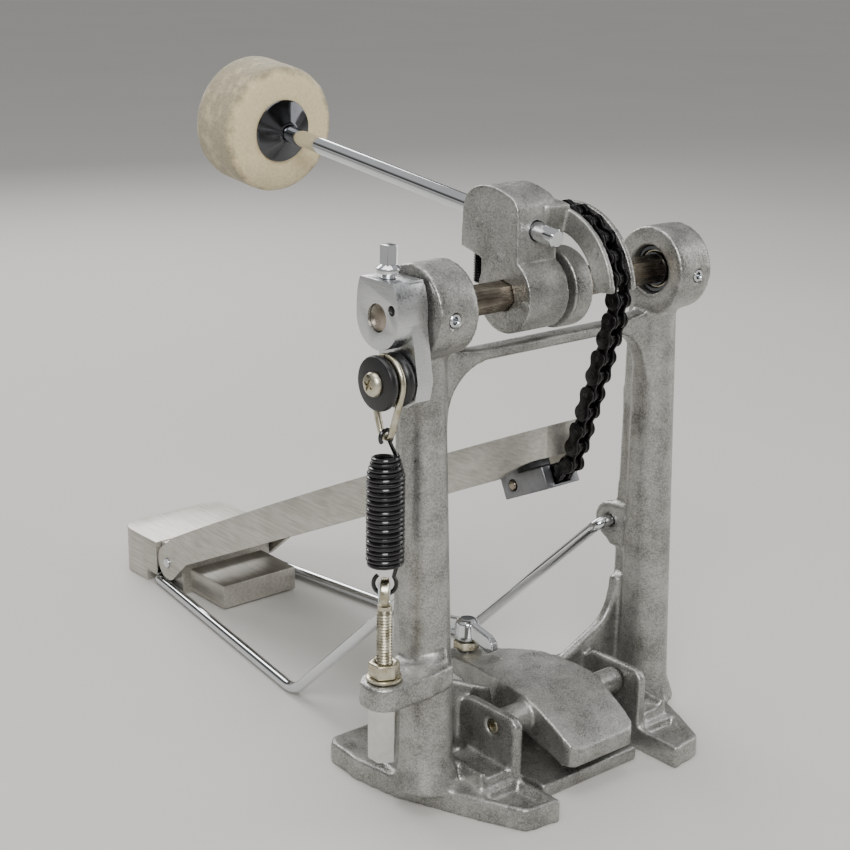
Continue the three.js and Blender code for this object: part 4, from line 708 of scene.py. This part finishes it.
def link_plate(a, b, x0, x1):
    """One waisted plate between two pins, from x0 to x1 millimetres."""
    bm = bmesh.new()
    bmesh.ops.create_circle(bm, segments=24, radius=PLATE_HALF * MM)
    far = bmesh.ops.create_circle(bm, segments=24, radius=PLATE_HALF * MM)["verts"]
    bmesh.ops.translate(bm, vec=(PITCH * MM, 0, 0), verts=far)
    hull = bmesh.ops.convex_hull(bm, input=bm.verts)
    inside = [item for item in hull["geom_interior"] if isinstance(item, bmesh.types.BMVert)]
    bmesh.ops.delete(bm, geom=inside, context="VERTS")
    bmesh.ops.dissolve_limit(bm, angle_limit=math.radians(1), verts=bm.verts, edges=bm.edges)
    long_edges = [e for e in bm.edges if e.calc_length() > 0.8 * PITCH * MM]
    bmesh.ops.subdivide_edges(bm, edges=long_edges, cuts=7)
    for vert in bm.verts:
        t = vert.co.x / (PITCH * MM)
        if 0.05 < t < 0.95:
            vert.co.y *= 1 - 0.34 * math.sin(math.pi * t) ** 2
    bmesh.ops.dissolve_limit(bm, angle_limit=math.radians(0.2), verts=[], edges=bm.edges)
    walls = bmesh.ops.extrude_face_region(bm, geom=bm.faces[:])
    top = [item for item in walls["geom"] if isinstance(item, bmesh.types.BMVert)]
    bmesh.ops.translate(bm, vec=(0, 0, (x1 - x0) * MM), verts=top)
    bmesh.ops.recalc_face_normals(bm, faces=bm.faces)
    rims = [e for e in bm.edges if e.is_manifold and e.calc_face_angle(0) > math.radians(60)]
    bmesh.ops.bevel(bm, geom=rims, offset=0.16 * MM, affect="EDGES", segments=2, profile=0.5, material=-1)
    along = math.atan2(b.z - a.z, b.y - a.y)
    stand = Matrix(((0, 0, 1, 0), (1, 0, 0, 0), (0, 1, 0, 0), (0, 0, 0, 1)))
    place = Matrix.Translation((x0 * MM, a.y, a.z)) @ Matrix.Rotation(along, 4, "X") @ stand
    bmesh.ops.transform(bm, matrix=place, verts=bm.verts)
    return bm


def rivet(pin):
    """A pin with its ends peened over."""
    return turned([(0, -PIN_HALF), (0.9, -PIN_HALF), (1.2, -PIN_HALF + 0.25), (1.2, PIN_HALF - 0.25),
                   (0.9, PIN_HALF), (0, PIN_HALF)], along_x(0, pin.y, pin.z), 20)


def roller_on(pin):
    """The roller that turns on a pin, between the inner plates."""
    return turned([(1.5, -1.3), (2.3, -1.3), (2.5, -1.1), (2.5, 1.1), (2.3, 1.3), (1.5, 1.3), (1.5, -1.3)],
                  along_x(0, pin.y, pin.z), 20)


def chain_run(pins, first_outer):
    """The plates of a run of links."""
    parts = []
    for k, (a, b) in enumerate(zip(pins, pins[1:])):
        inner = OUTER_PLATE if (k % 2 == 0) == first_outer else INNER_PLATE
        parts += [link_plate(a, b, inner, inner + PLATE_WALL), link_plate(a, b, -inner - PLATE_WALL, -inner)]
    return parts


def on_sector(count):
    """The pin so many links up the sector from the first hinge."""
    return axle_at + Matrix.Rotation(-step * count, 3, "X") @ (hinge_pins[0] - axle_at)


wrap = [on_sector(k) for k in (3, 2, 1, 0)]
on_top = together(*chain_run(wrap, True), *map(rivet, wrap), *map(roller_on, wrap[1:-1]))
fit("chain_on_sector", on_top, black_oxide, "axle", "black_oxide", "chain_wrap")
for k in range(5):
    a, b = hinge_pins[k], hinge_pins[k + 1]
    inner_link = k % 2 == 0
    ends = [roller_on(a), roller_on(b)] if inner_link else [rivet(a), rivet(b)]
    fit(f"chain_link_body_{k + 1}", together(*chain_run([a, b], not inner_link), *ends), black_oxide,
        f"link_{k + 1}", "black_oxide", f"chain_link_{k + 1}")
first = hinge_pins[-1]
spoke = (first - axle_at).normalized()
fall = Vector((0, -spoke.z, spoke.y))
if fall.z > 0:
    fall = -fall
span_pins = [first + fall * PITCH * k * MM for k in range(8)]
straight = together(*chain_run(span_pins, True), *map(rivet, span_pins), *map(roller_on, span_pins[1:-1]))
fit("chain_straight_run", straight, black_oxide, "span", "black_oxide", "chain_span")
tail_pins = [first + fall * PITCH * 8 * MM]
# The closing link goes with the board. It meets the straight run's last pin at both ends of the stroke.
gap = [span_pins[-1], tail_pins[0]]
closing = together(*chain_run(gap, False), *map(roller_on, gap))
fit("chain_closing_link", closing, black_oxide, "footboard", "black_oxide")
for from_vertical in (48.74, 64.74):
    a = math.radians(from_vertical)
    tail_pins.append(tail_pins[-1] + Vector((0, math.sin(a), -math.cos(a))) * PITCH * MM)
anchored = together(*chain_run(tail_pins, True), *map(rivet, tail_pins), roller_on(tail_pins[1]))
fit("chain_anchor_run", anchored, black_oxide, "footboard", "black_oxide", "chain_tail")

# ---- Chain anchor
# A milled aluminium block under the board's toe takes the chain's last link. A bare steel pin is pressed
# across it.
milled, tree, shader, place = begin("dull_milled_aluminium", Metallic=0.95)
cuts = add(tree, "ShaderNodeTexNoise", {"Vector": place, "Scale": 1 / (2.5 * MM), "Detail": 5.0})
tint = add(tree, "ShaderNodeMix", {0: cuts.outputs["Fac"], 6: linear("66676a"), 7: linear("97989a")},
           data_type="RGBA")
gloss = add(tree, "ShaderNodeMapRange", {0: cuts.outputs["Fac"], 1: 0.3, 2: 0.7, 3: 0.3, 4: 0.46})
chatter = add(tree, "ShaderNodeBump", {"Height": cuts.outputs["Fac"], "Strength": 0.2, "Distance": 0.1 * MM})
feed(tree, shader, Base_Color=tint.outputs[2], Roughness=gloss.outputs[0], Normal=chatter.outputs[0])
fit("milled_anchor_block", eased("chain_anchor_block", 0.5, 3), milled, "footboard", "grey_aluminium",
    "chain_anchor_block")
fit("anchor_cross_pin", eased("chain_anchor_pin", 0.4), bare_steel, "footboard", "dull_steel",
    "chain_anchor_pin")
